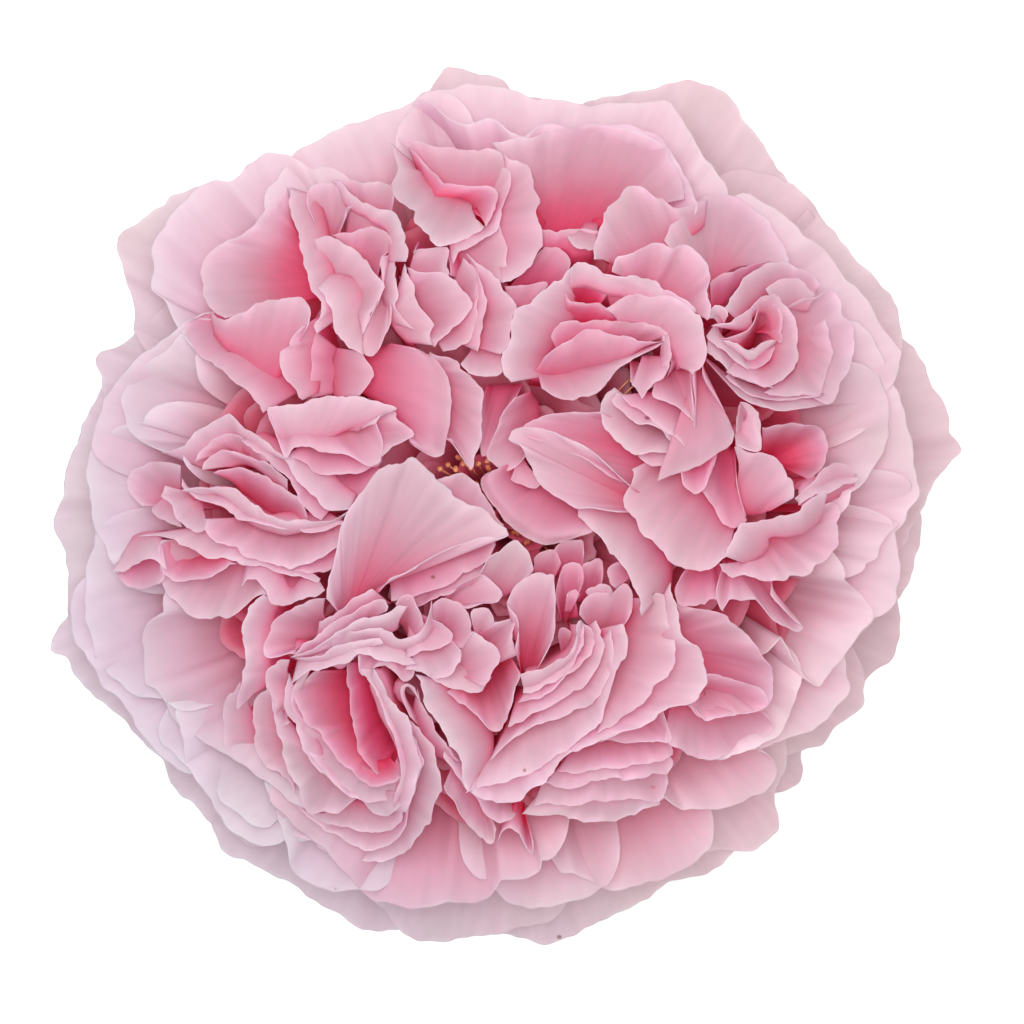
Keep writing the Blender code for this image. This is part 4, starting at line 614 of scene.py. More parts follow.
        (-30.2, 20), (-29.4, 19.5), (-28.6, 19.3), (-27.6, 19.6), (-26.6, 20.1), (-25.6, 20.9),
        (-24.4, 21.1), (-23.3, 21.1), (-22.6, 21.5), (-21.4, 21.5), (-20.6, 21), (-20.2, 20.2),
        (-20.2, 19), (-20.6, 18.2)]),
    ("folds_nw", "steep", [(-20.6, 21.2), (-20.6, 23.6), (-21.2, 26.4), (-22, 29.2)], 0, 0.05, [
        (-28.8, 19.4), (-30.2, 20.4), (-31.2, 23), (-31, 25), (-29.6, 26.8), (-27.4, 27.6),
        (-25.4, 29.4), (-22.5, 32.6)]),
    ("folds_nw", "slope", [(-20.4, 32), (-19.8, 29.6), (-19.4, 27), (-18.8, 24), (-18.2, 21), (-17.8, 19)],
        1.6, 0.1, [
        (-22.4, 32.6), (-22.3, 31), (-22, 29.6), (-21, 26.2), (-20.8, 24.6), (-19.9, 22.2),
        (-19.3, 21.2), (-19, 20.2), (-19.2, 19.3), (-19.6, 18.8), (-19.5, 17.8)]),
    ("folds_nw", "slope", [(-17, 16), (-16.8, 14), (-16.8, 12)], -1, 0.85, [
        (-19.5, 18), (-19.9, 16.6), (-20.1, 14.8), (-20, 11.4)]),
    ("folds_nw", "ledge", [(-18.9, 22.9), (-17.4, 22.8), (-15.8, 22.2), (-15.2, 20), (-15.2, 18),
        (-14.9, 16.6)], 2.4, 0.08, [
        (-19.3, 22.4), (-18.6, 21.5), (-18.1, 20.2), (-17.8, 18.8), (-17.4, 17.8), (-16.1, 16.2),
        (-14.8, 15.8)]),
    ("folds_nw", "slope", [(-16.4, 16.2), (-17, 14.6), (-16.8, 12.6), (-16.6, 11.5)], 1, 0.35, [
        (-15.2, 16), (-14.5, 15.3), (-13.9, 13.8), (-14.1, 13), (-14.4, 12.4), (-15.2, 11.6)]),
    ("fold_petal_nw2", "slope", [(-19.2, 24.4), (-18, 23), (-16, 22.4), (-15.2, 20.6), (-15.1, 18.6)],
        1.5, 0.2, [
        (-19.8, 27.3), (-18.6, 27.5), (-17.4, 27.2), (-16.2, 26.6), (-14.2, 24.6), (-13.4, 23.6),
        (-12.9, 22.8), (-13, 21.8), (-13.3, 20.8), (-14, 19.8), (-14.6, 18.6), (-14.9, 17.6)]),
    ("folds_nw", "ledge", [(-12.4, 25.6), (-12.3, 23.4), (-12.3, 21)], 1, 0.3, [
        (-13.1, 25.5), (-13.2, 24.4), (-12.9, 23), (-13.2, 21.4), (-14.6, 18.4), (-14.9, 17),
        (-14.9, 16), (-14.3, 15.6), (-13.6, 15.8), (-12.6, 17.6), (-12.1, 19), (-12, 20.4)]),
    ("folds_nw", "ledge", [(-12.1, 26), (-12.2, 23), (-12, 20.6), (-11.2, 18.6)], 1, 0.2, [
        (-11.9, 26.8), (-11.6, 25), (-11.6, 23), (-11.4, 21.4), (-11.5, 20.2), (-10.6, 19),
        (-9.8, 18.2)]),
    ("folds_nw", "slope", [(-17, 27), (-15.4, 26), (-14.2, 25), (-13.3, 24)], 0, 0.6, [
        (-18, 27.7), (-15, 28.3), (-13.6, 28.4), (-12.6, 28.1), (-12, 27.4), (-11.9, 26.6),
        (-12.4, 26), (-13, 25.6)]),
    ("folds_nw", "slope", [(-19.4, 28.2), (-18, 28.1), (-17, 28.6)], 0.5, 0.3, [
        (-19.9, 29.4), (-20.6, 31), (-20.4, 32.2), (-19.2, 33), (-18, 33.1), (-17.2, 32.6),
        (-16.4, 31.8), (-15.8, 30.8), (-16.5, 30.6), (-16.6, 29.6)]),
    ("folds_nw", "ledge", [(-17.6, 32.8), (-16.4, 31.6), (-15.4, 30.9), (-12.6, 29.6), (-11.7, 28.8),
        (-11.3, 27.6), (-11.2, 25)], 2.4, 0, [
        (-18, 33.1), (-17, 33), (-16.4, 32.2), (-15.6, 31.4), (-14.6, 30.8), (-12.4, 30.2),
        (-11.6, 29.6), (-11, 28.6), (-10.6, 27.4), (-10.5, 26), (-10.6, 25)]),
    ("folds_nw", "slope", [(-16.6, 28.4), (-14.4, 28.6), (-12.4, 28.6)], 0, 0.4, [
        (-16.4, 30.8), (-15.2, 30.6), (-13.8, 30.2), (-12.4, 29.5), (-11.8, 28.8)]),
    ("folds_nw", "slope", [(-16, 31.6), (-14, 30.8), (-12, 30.2)], 1, 0.35, [
        (-17.6, 33.2), (-16, 33.2), (-14, 33), (-12.2, 32.7), (-11.8, 31.6)]),
    ("swirl_petal_w1", "slope", [(-31.6, 4.6), (-31, 6), (-29.6, 7.2), (-28, 7.6), (-26.4, 7),
        (-23.8, 5.6)], 1.6, 0.15, [
        (-35, 6), (-34, 6.1), (-33, 6.6), (-32, 7.4), (-31.2, 8.3), (-29, 9.5), (-28.3, 9.6),
        (-27.6, 9.3), (-26.6, 8.4), (-24, 6.6), (-23, 5.8), (-22.6, 5.2)]),
    ("swirl_folds_w", "slope", [(-30, 5.6), (-28.6, 6.4), (-27, 6), (-24.4, 4.9)], 0.6, 0.45, [
        (-31.6, 5), (-31, 6.2), (-30, 7.2), (-28.6, 7.7), (-27, 7.5), (-24.9, 5.9), (-24.2, 5.2)]),
    ("pocket_petal_n", "slope", [(-8.8, 34.2), (-7.4, 33.3), (-5.6, 32.8), (-3.6, 32.7), (-0.6, 33.2)],
        2.4, 0.35, [
        (-11.6, 37.6), (-8.4, 36.9), (-6.6, 36.5), (-4.5, 36.3), (-2.5, 36.35), (-1.2, 36), (0, 35.2),
        (0.6, 35)]),
    ("pocket_petal_n", "ledge", [(-0.6, 34.2), (-0.3, 33), (-0.5, 31.4), (-1, 29.8), (-1.1, 28),
        (-0.5, 24.8), (-1, 23.4)], 3, 0.35, [
        (-0.9, 36), (0, 35.3), (1, 34.8), (1.9, 34.2), (2.35, 32), (2.65, 31), (2.45, 30), (2.8, 28.8),
        (3, 27.6), (2.8, 26.2), (2.2, 25), (1.2, 24), (0.2, 23.2), (-0.9, 22.7)]),
    ("pocket_folds_n", "steep", [(-9.4, 34), (-8, 32.2), (-6, 31.2), (-3, 29.4)], 2.2, 0.6, [
        (-10.4, 36.6), (-9.6, 36), (-8.8, 34.9), (-8, 34), (-7, 33.2), (-6, 32.8), (-4.4, 32.55),
        (-2.6, 32.65), (-1.9, 32.55), (-1.6, 31.8), (-1.55, 30.8), (-1.9, 29.6), (-2.6, 28.5)]),
    ("pocket_folds_n", "ledge", [(-10.8, 35.8), (-10.4, 34.4), (-9.4, 32.8), (-8, 31.7), (-4.4, 29.8),
        (-3.4, 29.1)], 1.8, 0.08, [
        (-12.2, 37), (-11.7, 36), (-11.5, 34.4), (-11.9, 33), (-11.8, 31.8), (-11, 30.8),
        (-10.3, 30.2), (-9.6, 30.2), (-9.7, 29), (-8.4, 27.6), (-8, 26.9), (-6.6, 26.6), (-5, 27),
        (-2.8, 28.5)]),
    ("pocket_folds_n", "ledge", [(-1.6, 33), (-1.4, 31), (-1.8, 29.6), (-2.6, 28.3), (-5.4, 26.8),
        (-6.1, 25.8)], 2, 0.4, [
        (-1, 34.6), (-0.4, 34.3), (-0.15, 33.4), (-0.3, 32.2), (-1.2, 29.6), (-1.3, 28.4), (-2, 27.7),
        (-4.4, 26.4), (-5.3, 25.7), (-5.9, 24.7)]),
    ("pocket_folds_n", "ledge", [(-1.9, 28), (-4.6, 26), (-2.2, 23.8), (-1.3, 22.9)], 1.6, 0.35, [
        (-1.2, 28.8), (-0.8, 27.4), (-0.45, 25), (-0.6, 24), (-1, 22.9)]),
    ("pocket_folds_n", "ledge", [(-9.8, 26), (-9.4, 24.3), (-8, 23.9), (-6.8, 23.8)], 0.8, 0.35, [
        (-9.9, 25.8), (-9.2, 26.4), (-8.2, 26.3), (-7, 26.4), (-6.35, 26.2), (-6.4, 24.2),
        (-6.3, 23.7)]),
    ("pocket_folds_n", "steep", [(-5.8, 26), (-5.2, 24.6), (-5, 23.2)], -0.5, 0.95, [
        (-6.3, 26.2), (-6.3, 25), (-6.3, 23.6)]),
    ("pocket_folds_n", "slope", [(-10.2, 23.6), (-9.4, 21), (-8, 19), (-8.1, 17.8), (-7.9, 16.8)],
        1.8, 0.25, [
        (-10.4, 24.3), (-9.2, 24), (-6.9, 23.8), (-6, 23.4), (-5.2, 22.6), (-4.2, 21.1), (-4, 20.4),
        (-4.4, 19.6), (-5, 19), (-6, 18.3), (-7, 17.3), (-7.7, 16.3)]),
    ("pocket_folds_n", "ledge", [(-10.9, 24), (-10.9, 22), (-11.3, 20.4), (-10.9, 19), (-9.9, 17.8),
        (-8.6, 16.7)], 2, 0.2, [
        (-10.7, 24.8), (-9.8, 22.2), (-9.4, 20.9), (-8, 18.9), (-8.1, 17.8), (-7.8, 16.6)]),
    ("pocket_folds_n", "slope", [(-5.8, 23.2), (-4.2, 21.3), (-4.1, 20.2), (-5, 19), (-6.4, 18),
        (-7.4, 16.9)], 1.2, 0.35, [
        (-4.8, 25.4), (-4.1, 24.8), (-3.6, 24), (-3.2, 22), (-3.5, 20.6), (-3.6, 19), (-3.8, 17.8),
        (-4.3, 17), (-6.8, 15.9)]),
    ("pocket_folds_n", "slope", [(-4, 24.6), (-3.5, 22.8), (-3.7, 19), (-3.9, 17.6), (-4.8, 16.6)],
        1.6, 0.35, [
        (-4.5, 25.6), (-3.6, 24.8), (-3, 22.4), (-2.6, 21.2), (-2.5, 20.3), (-3.2, 18), (-3.1, 17),
        (-3.4, 16)]),
    ("pocket_folds_n", "slope", [(-3.8, 24.8), (-2.5, 21.4), (-2.4, 20), (-3, 17), (-2.9, 16.2)],
        2.2, 0.3, [
        (-4.5, 25.7), (-2.2, 23.9), (-0.5, 21.9), (0.1, 21), (0.4, 20.3), (0, 19.4), (0, 18.2),
        (-0.5, 16.6), (-1.1, 15.7)]),
    ("heart_tongues", "slope", [(-4.7, 15.3), (-3.4, 15.9), (-2.2, 16.1), (-1.1, 15.8)], 1.5, 0.15, [
        (-5.1, 14.8), (-4.4, 14), (-3.6, 13.5), (-2.6, 13.4), (-1.6, 13.7), (-0.8, 14.1)]),
    ("hood_petal_ne", "slope", [(2.5, 13.4), (2.5, 15.2), (3.7, 17.4), (4.8, 18.6), (5.3, 19.6),
        (5.5, 22.6), (6.1, 23.5)], 3.6, 0.05, [
        (-0.3, 12.9), (-0.8, 13.9), (-1, 15), (-0.8, 16), (-0.3, 17), (0, 18), (0, 19.2), (0.35, 20.2),
        (1, 20.6), (2, 20.8), (2.6, 21.6), (4, 22.9), (4.8, 23.1), (6, 24.4)]),
    ("hood_folds_ne", "slope", [(-0.4, 22.3), (2.6, 22.9), (4, 22.9), (4.8, 23.1)], -1.5, 0.9, [
        (2.4, 25.4), (3, 26.2), (3.8, 26.4), (4.8, 26.3), (5.6, 25.7), (5.9, 25), (5.6, 24.2)]),
    ("hood_folds_ne", "ledge", [(-0.6, 22), (0.2, 21.2), (1, 20.9), (2.2, 21)], -1, 0.55, [
        (-0.7, 22.4), (2, 22.8), (3.6, 22.8), (3, 22)]),
    ("hood_folds_ne", "slope", [(3, 27.2), (4.4, 27.4), (5.6, 27.2), (6.4, 26.6), (8.4, 26.8)], -1, 0.6, [
        (2.9, 28.1), (6, 28.2), (7.4, 28.2), (8.8, 28.2)]),
    ("hood_folds_ne", "slope", [(6, 27.6), (7.2, 27.9), (8.5, 27.7)], 0.4, 0.15, [
        (5.6, 27.6), (6, 26.9), (6.6, 26.2), (7.4, 26.1), (8.4, 26.3)]),
    ("hood_folds_ne", "steep", [(2.7, 30), (2.9, 28.6), (7, 28.4), (8.8, 28.6), (9.2, 29.6)], 3, 0.15, [
        (-2, 37), (1.2, 37.5), (5, 38.4), (7, 38.9), (9, 39), (11, 38.9), (14.4, 38), (15.6, 36.4),
        (17, 33), (17.4, 31.4)]),
    ("wave_petal_ne", "slope", [(8.7, 25.2), (12, 25.9), (15, 27), (18, 29), (19.4, 29.8)], 3.4, 0.15, [
        (8.2, 25.2), (8.4, 27.6), (9.2, 29), (9.25, 29.8), (9.6, 30.4), (10.9, 31.8), (11.6, 32.4),
        (12.4, 32.65), (13.2, 32.5), (13.8, 31.9), (14.4, 31.5), (15, 31.3), (15.6, 30.8),
        (16.4, 30.5), (18.4, 30.8), (19.6, 31.2)]),
    ("hood_folds_ne", "slope", [(19.9, 20.4), (19.8, 22), (20, 23.4), (21.4, 24.2), (23, 24.6)], 2, 0.1, [
        (15.2, 27.2), (16, 28.6), (17.6, 30.2), (19.4, 31.6), (21.2, 31.8), (22.8, 31.4), (24.4, 30.4),
        (25.6, 29.2), (26.6, 27.8), (27.4, 26.4), (27.6, 25)]),
    ("hood_folds_ne", "slope", [(10.6, 23.7), (12, 23.7), (13.6, 23.3), (16, 22), (18, 20.3),
        (18.8, 19.6)], 3, 0.4, [
        (9.9, 24), (10.2, 24.9), (11.2, 25.6), (13.6, 26.6), (14.5, 26.85), (16, 26.5), (17.4, 26.65),
        (19.3, 25.2), (19.75, 24.2), (19.5, 22), (19.8, 21), (19.9, 20.2), (19.4, 19.2)]),
    ("hood_folds_ne", "ledge", [(5.8, 23.3), (6.6, 23.6), (7.8, 23.6), (10, 22.8), (11.2, 22.6),
        (13.4, 21.8), (16, 21.2), (18, 19.8)], 4, 0.02, [
        (5.9, 24.3), (6.6, 24.8), (7.6, 24.75), (8.4, 24.4), (10, 23.5), (11.2, 23.4), (12, 23.75),
        (12.8, 23.4), (13.8, 23.2), (14.4, 22.8), (14.9, 22.3), (15.6, 22.2), (16.2, 21.9),
        (16.7, 21.4), (17.6, 20.9), (18.4, 20)]),
    ("hood_folds_ne", "steep", [(5.6, 20.8), (7, 21.2), (9, 21)], 1.5, 1, [
        (5.4, 22.4), (6, 23.2), (7, 23.5), (8, 23.3), (9, 22.6), (9.5, 21.7)]),
    ("hood_folds_ne", "slope", [(9.6, 21.2), (10.6, 21.1), (11.4, 21.4), (12.2, 21.6)], 1.4, 0.75, [
        (9.1, 22.9), (10.4, 22.6), (11.8, 22.2), (13.3, 21.8)]),
    ("hood_folds_ne", "ledge", [(9.6, 20), (12.2, 19.9), (14.9, 18.9), (16.5, 16.9), (17.2, 16),
        (17.9, 13.8)], 4.2, 0.25, [
        (9.2, 20.2), (10, 20.8), (12, 21.6), (13.2, 21.65), (16, 21.4), (17, 21), (18, 20.2),
        (18.7, 19.3), (19.1, 18.4), (19.35, 17.2), (19.4, 16), (19.2, 15.2), (18.8, 14.4),
        (18.1, 13.6)]),
    ("tongue_folds_ne", "steep", [(4, 18), (5.4, 19), (9, 19.1), (13, 18.8), (14.6, 18.6)], 1, 0.9, [
        (5.3, 22), (5.6, 21.2), (7, 20.9), (8.4, 20.8), (9.6, 20.2), (11, 19.9), (12.6, 19.7),
        (15.1, 18.7)]),
    ("tongue_folds_ne", "slope", [(4.2, 16.7), (6, 17.7), (8, 18.3), (12, 17.5), (14.4, 17.2)], 1.8, 0.6, [
        (3.8, 17.6), (4.6, 18.5), (5.6, 19), (9, 19.05), (11, 19.05), (12.6, 18.8), (14, 18.7),
        (15, 18.4), (15.6, 17.6)]),
    ("tongue_folds_ne", "slope", [(2.4, 14.2), (6.4, 14.4), (10.6, 15.5), (14, 16.8)], 2.4, 0.6, [
        (3.4, 15.6), (5.4, 17), (7.4, 18.1), (8.6, 18.15), (11, 17.5), (13.4, 17), (15, 17)]),
    ("tongue_folds_ne", "slope", [(2.6, 13.8), (6.4, 14.2), (8.4, 14.8), (10.2, 15.4)], 1.4, 0.4, [
        (3, 12.2), (4.6, 11.4), (6.4, 11.2), (8.2, 11.8), (9.6, 13), (10.6, 14.2), (11.6, 15),
        (14, 16.2), (15, 16.9)]),
    ("tongue_folds_ne", "ledge", [(14.9, 16.4), (14.9, 15.4), (14.4, 14.6), (12.9, 13.2)], 2.4, 0.35, [
        (15, 17.4), (15.5, 18), (15.8, 17), (15.8, 15.6), (15.6, 14.4), (15.2, 13.6), (14.6, 13.2),
        (14.2, 12.7)]),
    ("tongue_folds_ne", "steep", [(16.4, 13.6), (17, 14.6), (17.2, 15.8)], 0.5, 0.9, [
        (15.6, 18), (15.9, 16.8), (15.8, 15.2), (15.6, 14), (15.4, 13.4)]),
    ("tongue_folds_ne", "slope", [(11.8, 14), (12.8, 14), (13.8, 14.3)], 1.6, 0.3, [
        (11.8, 12.9), (12.4, 12.3), (13, 11.4), (13.4, 11.9), (14.8, 13.2), (15.2, 14)]),
    ("swirl_folds_ne", "slope", [(19.9, 21.4), (20.8, 21.6), (21.8, 21.8), (22.8, 22.8)], 0.6, 0.8, [
        (19.8, 23), (20.8, 23.6), (23.2, 24.5), (26, 25.2)]),
    ("swirl_folds_ne", "slope", [(20, 19.4), (20.8, 19), (21.4, 19.4)], 2.4, 0.1, [
        (19.5, 19.2), (20.2, 20.6), (21, 20.6), (21.5, 20.2), (21.5, 19.6)]),
    ("swirl_folds_ne", "slope", [(21.8, 19.8), (23.7, 21.4), (25.8, 22.7), (26.8, 23.2), (28, 23.3),
        (29.2, 22.8), (30.4, 21.8)], 2.8, 0.15, [
        (21.3, 20.3), (21.8, 21.4), (23.2, 23.2), (24.2, 24.2), (25.2, 24.8), (26.6, 25), (28.2, 24.8),
        (29.8, 24), (31, 22.8)]),
    ("swirl_folds_ne", "ledge", [(25.8, 21.6), (28.2, 21.4), (29.2, 21.3), (30.2, 21.2)], 3, 0.12, [
        (25.4, 22.3), (26.2, 23.1), (27.4, 23.4), (28.6, 23.3), (29.6, 22.7), (30.5, 21.8)]),
    ("swirl_folds_ne", "slope", [(27.2, 20.4), (28.4, 18.4), (28.7, 16.4), (28.2, 14.4), (27, 13)],
        3.2, 0.1, [
        (29, 21.3), (30.6, 21.6), (31.6, 22.2), (32.4, 22), (33, 21), (33.2, 19.8), (34, 19),
        (34.4, 16.4), (34, 15), (32.8, 12.4), (32.3, 11.2), (31.4, 10.8)]),
    ("swirl_petal_ne", "slope", [(21, 18.4), (22.4, 18.6), (23.4, 19.4), (24.2, 20.4), (25.2, 20.9),
        (26.2, 20.6), (26.8, 19.6), (27, 18.4), (26.9, 15.6), (26.6, 14.4), (25.6, 13.7), (24.6, 13.8),
        (22, 14.8)], 2.8, 0.25, [
        (19.8, 18.6), (20.6, 18.8), (21.6, 18.9), (22.6, 19.4), (24.4, 21), (25, 21.5), (26, 21.7),
        (26.6, 21.5), (27.4, 20.8), (28.1, 19.6), (28.5, 18.4), (28.65, 17), (28.5, 15.6),
        (28.2, 14.4), (27.6, 13.6), (26.6, 12.9), (25.2, 12.6), (23.8, 12.9), (21.4, 14)]),
    ("swirl_folds_ne", "steep", [(21.8, 17), (23, 17.1), (24.2, 17.6), (25, 18.4), (25.8, 17.6)],
        1.4, 0.6, [
        (20.6, 17.3), (21.8, 17.4), (23, 17.9), (24, 18.7), (24.4, 19.6), (24.7, 20.6), (25.3, 21.2),
        (26, 21), (26.8, 20.2), (27.1, 17.8), (26.9, 16.8)]),
    ("swirl_folds_ne", "steep", [(22.8, 15.6), (24, 15.2), (25.4, 15.4), (26.2, 16)], 0.4, 0.7, [
        (21, 16.9), (22.4, 16.7), (23.6, 16.2), (24.6, 16.4), (25.4, 16.9), (26.4, 17.1)]),
    ("swirl_folds_ne", "ledge", [(22, 16.2), (23.8, 15), (24.8, 15.6), (25.6, 16.3)], 1.6, 0.1, [
        (20.9, 17.2), (22.2, 16.9), (23.2, 16.2), (24, 16.3), (24.8, 16.8), (25.6, 17.1), (26.4, 17.1)]),
    ("swirl_folds_ne", "slope", [(23, 14.9), (24.2, 15), (25.2, 15.6), (25.9, 16.4)], 1.4, 0.85, [
        (22.6, 14.9), (23.4, 14.3), (24.3, 14.3), (25.2, 14.8), (25.9, 15.6), (26.4, 16.6)]),
    ("swirl_folds_ne", "ledge", [(19.7, 18), (20.8, 16.8), (22, 15.9), (23.2, 15.1)], 2, 0.12, [
        (19.4, 17.6), (20.2, 16.8), (22.6, 14.9), (23.6, 14.2)]),
    ("swirl_folds_ne", "ledge", [(19.5, 16.8), (22, 14.9), (23.4, 14), (25, 13.5)], 2.2, 0.08, [
        (19.4, 16), (21.8, 14), (23, 13.2), (24.4, 12.7), (26, 12.5)]),
    ("swirl_folds_ne", "slope", [(28.2, 14), (28.8, 16), (28.8, 18)], 1.4, 0.3, [
        (25, 11.8), (27, 11.6), (29, 11.6), (30.6, 11.8), (31.4, 13.4), (32, 15.4), (31.9, 17.6),
        (31.4, 19.4)]),
    ("swirl_folds_ne", "ledge", [(21.4, 13.6), (23, 12.8), (25, 12.3), (27, 12.4)], 1.2, 0.12, [
        (21.2, 13.4), (22.6, 12.4), (24, 11.6), (25.6, 11.2), (27.6, 11.2), (29.6, 11.4), (31.2, 11.8)]),
    ("swirl_folds_ne", "ledge", [(19.3, 15.2), (22, 13.2), (23.4, 12.1), (25, 11.4), (27, 11.2),
        (31, 11.6)], 1.8, 0.05, [
        (22.6, 11.6), (23.6, 11), (24.6, 10.6), (26, 10.2), (27.6, 10.2), (29.6, 10.4), (31.2, 10.8),
        (32.2, 11.3)]),
    ("swirl_folds_w", "slope", [(-39, -5.9), (-37.6, -5.3), (-36.2, -5), (-35, -5.4)], 0.4, 0.6, [
        (-39.9, -6.3), (-38.8, -7.2), (-37.2, -7.7), (-35.6, -7.4), (-34.8, -6.4)]),
    ("swirl_folds_w", "ledge", [(-38.6, -3.4), (-36.8, -3), (-35, -3.4)], 1.2, 0.1, [
        (-40.3, -6.1), (-39, -6), (-37.8, -5.2), (-36.8, -4.8), (-35.8, -4.9), (-34.6, -5.6)]),
    ("strap_folds_s", "steep", [(-0.7, -29.6), (0.7, -30), (1.6, -31.2)], -1, 0.4, [
        (-1.5, -33.2), (-1, -32), (-0.3, -31.5), (0.5, -32), (1.2, -33.2), (2, -34.3), (2.1, -33)]),
]


def ease(x):
    # 0 to 1 with level ends
    x = np.clip(x, 0.0, 1.0)
    return x * x * (3.0 - 2.0 * x)


def blendTo(a, b, share):
    # a at share 0, b at share 1, in a straight line between
    return a + (b - a) * share


def domeHeight(radius):
    # an ellipse, less a hollow at the heart and a sag at the edge
    inside = np.clip(1.0 - (radius / bloom["domeRadius"]) ** 2, 0.0, 1.0)
    hollow = bloom["heartDip"] * np.exp(-(radius / bloom["heartRadius"]) ** 2)
    sag = bloom["outerSag"] * ease((radius - bloom["sagFrom"]) / bloom["sagOver"])
    return bloom["domeBase"] + bloom["domeRise"] * np.sqrt(inside) - hollow - sag


def rimHeight(kind, radius, lift):
    # guard petals come down near the surface, all others follow the dome
    if kind == "guard":
        inwards = np.maximum(bloom["domeRadius"] - radius, 0.0)
        return bloom["guardRim"] + bloom["guardSlope"] * inwards + lift
    return domeHeight(radius) + lift


def hipHeight(radius):
    # top of the hip, falling with the square of the radius
    return bloom["hipTop"] - bloom["hipFall"] * radius ** 2


def bezier(points, t):
    # cubic through its first and last point, pulled by the two between
    a, b, c, d = points
    return a * (1 - t) ** 3 + 3 * b * t * (1 - t) ** 2 + 3 * c * t ** 2 * (1 - t) + d * t ** 3


def rimCurve(points, pitch, count=None):
    # Catmull-Rom curve through the given points, then points at even spacing along it
    given = np.array(points, dtype=float)[:, :2]
    ends = np.vstack([2 * given[0] - given[1], given, 2 * given[-1] - given[-2]])
    t = np.linspace(0.0, 1.0, 13)[:-1, None]
    fine = []
    for a, b, c, d in zip(ends[:-3], ends[1:-2], ends[2:-1], ends[3:]):
        fine.append(0.5 * (2 * b + (c - a) * t + (2 * a - 5 * b + 4 * c - d) * t ** 2
                           + (3 * b - a - 3 * c + d) * t ** 3))
    fine = np.vstack(fine + [given[-1:]])
    steps = np.r_[0.0, np.cumsum(np.linalg.norm(np.diff(fine, axis=0), axis=1))]
    count = count or max(9, round(steps[-1] / pitch) + 1)
    even = np.linspace(0.0, steps[-1], count)
    return np.column_stack([np.interp(even, steps, fine[:, k]) for k in range(2)]), even


phases = (0.0, 6.28)                   # range that a wave's phase is drawn from


def waves(along, chance, longest, amount, count=4):
    # a few sines of shorter and shorter wave, with phases drawn by chance
    total = np.zeros_like(along)
    for k in range(1, count + 1):
        turn = 2 * math.pi * along * k ** 0.8 / longest + chance.uniform(*phases)
        total = total + np.sin(turn) / k
    return amount * total / 1.4


def buckle(along, rows, chance, longest, amount):
    # slow swells that run along and across a petal, strongest near its rim
    total = 0.0
    for k in range(4):
        finer = 1 + 0.6 * k
        slant = chance.uniform(-1.5, 1.5)
        turn = 2 * math.pi * (along / longest * finer + slant * rows) + chance.uniform(*phases)
        total = total + np.sin(turn) / finer
    return amount * total / 1.6 * rows ** 1.5


def rowShares(rows):
    # rows from foot to rim, closer together near the rim
    return 1.0 - np.linspace(1.0, 0.0, rows)[:, None] ** 1.7


def ringPetal(kind, tier, lift, rim, chance):
    # radius and height follow a cubic from the hip out to the rim; the angle narrows towards the foot,
    # and past each end of the given rim the edge rounds off down the same surface
    shape, lengths = rings[kind], waveLengths["ring"]
    plan, along = rimCurve(rim, sheetGrid["pitch"])
    plan = plan - bloom["middle"]
    radius = np.hypot(plan[:, 0], plan[:, 1])
    angle = np.unwrap(np.arctan2(plan[:, 1], plan[:, 0]))
    corner = min(shape["corner"], 0.3 * along[-1])
    bend = np.linspace(0.0, 1.0, 10)[1:]
    added = len(bend)
    step = corner * np.sin(bend * math.pi / 2) * np.sign(angle[-1] - angle[0])
    radius = np.r_[np.full(added, radius[0]), radius, np.full(added, radius[-1])]
    angle = np.r_[(angle[0] - step / radius[0])[::-1], angle, angle[-1] + step / radius[-1]]
    top = np.ones_like(radius)
    top[-added:] = 1.0 - shape["round"] * (1.0 - np.cos(bend * math.pi / 2))
    top[:added] = top[-added:][::-1]
    reached = np.abs(step)
    along = np.r_[-reached[::-1], along, along[-1] + reached]
    radius = radius + waves(along, chance, lengths["rag"], shape["rag"])

    # near the middle a petal climbs nearly upright, and the further out its rim, the more it arches over
    arch = ease((radius - outerArch["from"]) / outerArch["over"])
    height = rimHeight(kind, radius, lift)
    foot = bloom["footRadius"] + bloom["tierStep"] * tier
    footHeight = hipHeight(foot) + bloom["footLift"]
    drop = bloom["tierDrop"] * tier
    reach = [foot / radius, blendTo(*outerArch["lowReach"], arch), blendTo(*outerArch["highReach"], arch),
             np.ones_like(radius)]
    heights = [footHeight, footHeight + blendTo(*outerArch["rise"], arch) - drop,
               blendTo(outerArch["upright"] * height, height + outerArch["crest"], arch) - drop, height]
    rows = rowShares(sheetGrid["rows"] + sheetGrid["outerMore"])
    t = rows * top
    far = bezier(reach, t) * radius
    high = bezier(heights, t)
    width = blendTo(shape["footWidth"], 1.0, ease(rows))
    middle = 0.5 * (angle[0] + angle[-1])
    turned = middle + (angle - middle) * width
    high = high + rows ** 4 * waves(along, chance, lengths["wave"], shape["wave"])
    high = high + buckle(along, rows, chance, lengths["swell"], shape["swell"])
    high = np.maximum(high, bloom["floorGap"])
    grid = np.stack([far * np.cos(turned), far * np.sin(turned), high], axis=-1)
    return grid, along, np.zeros((2, len(grid)))


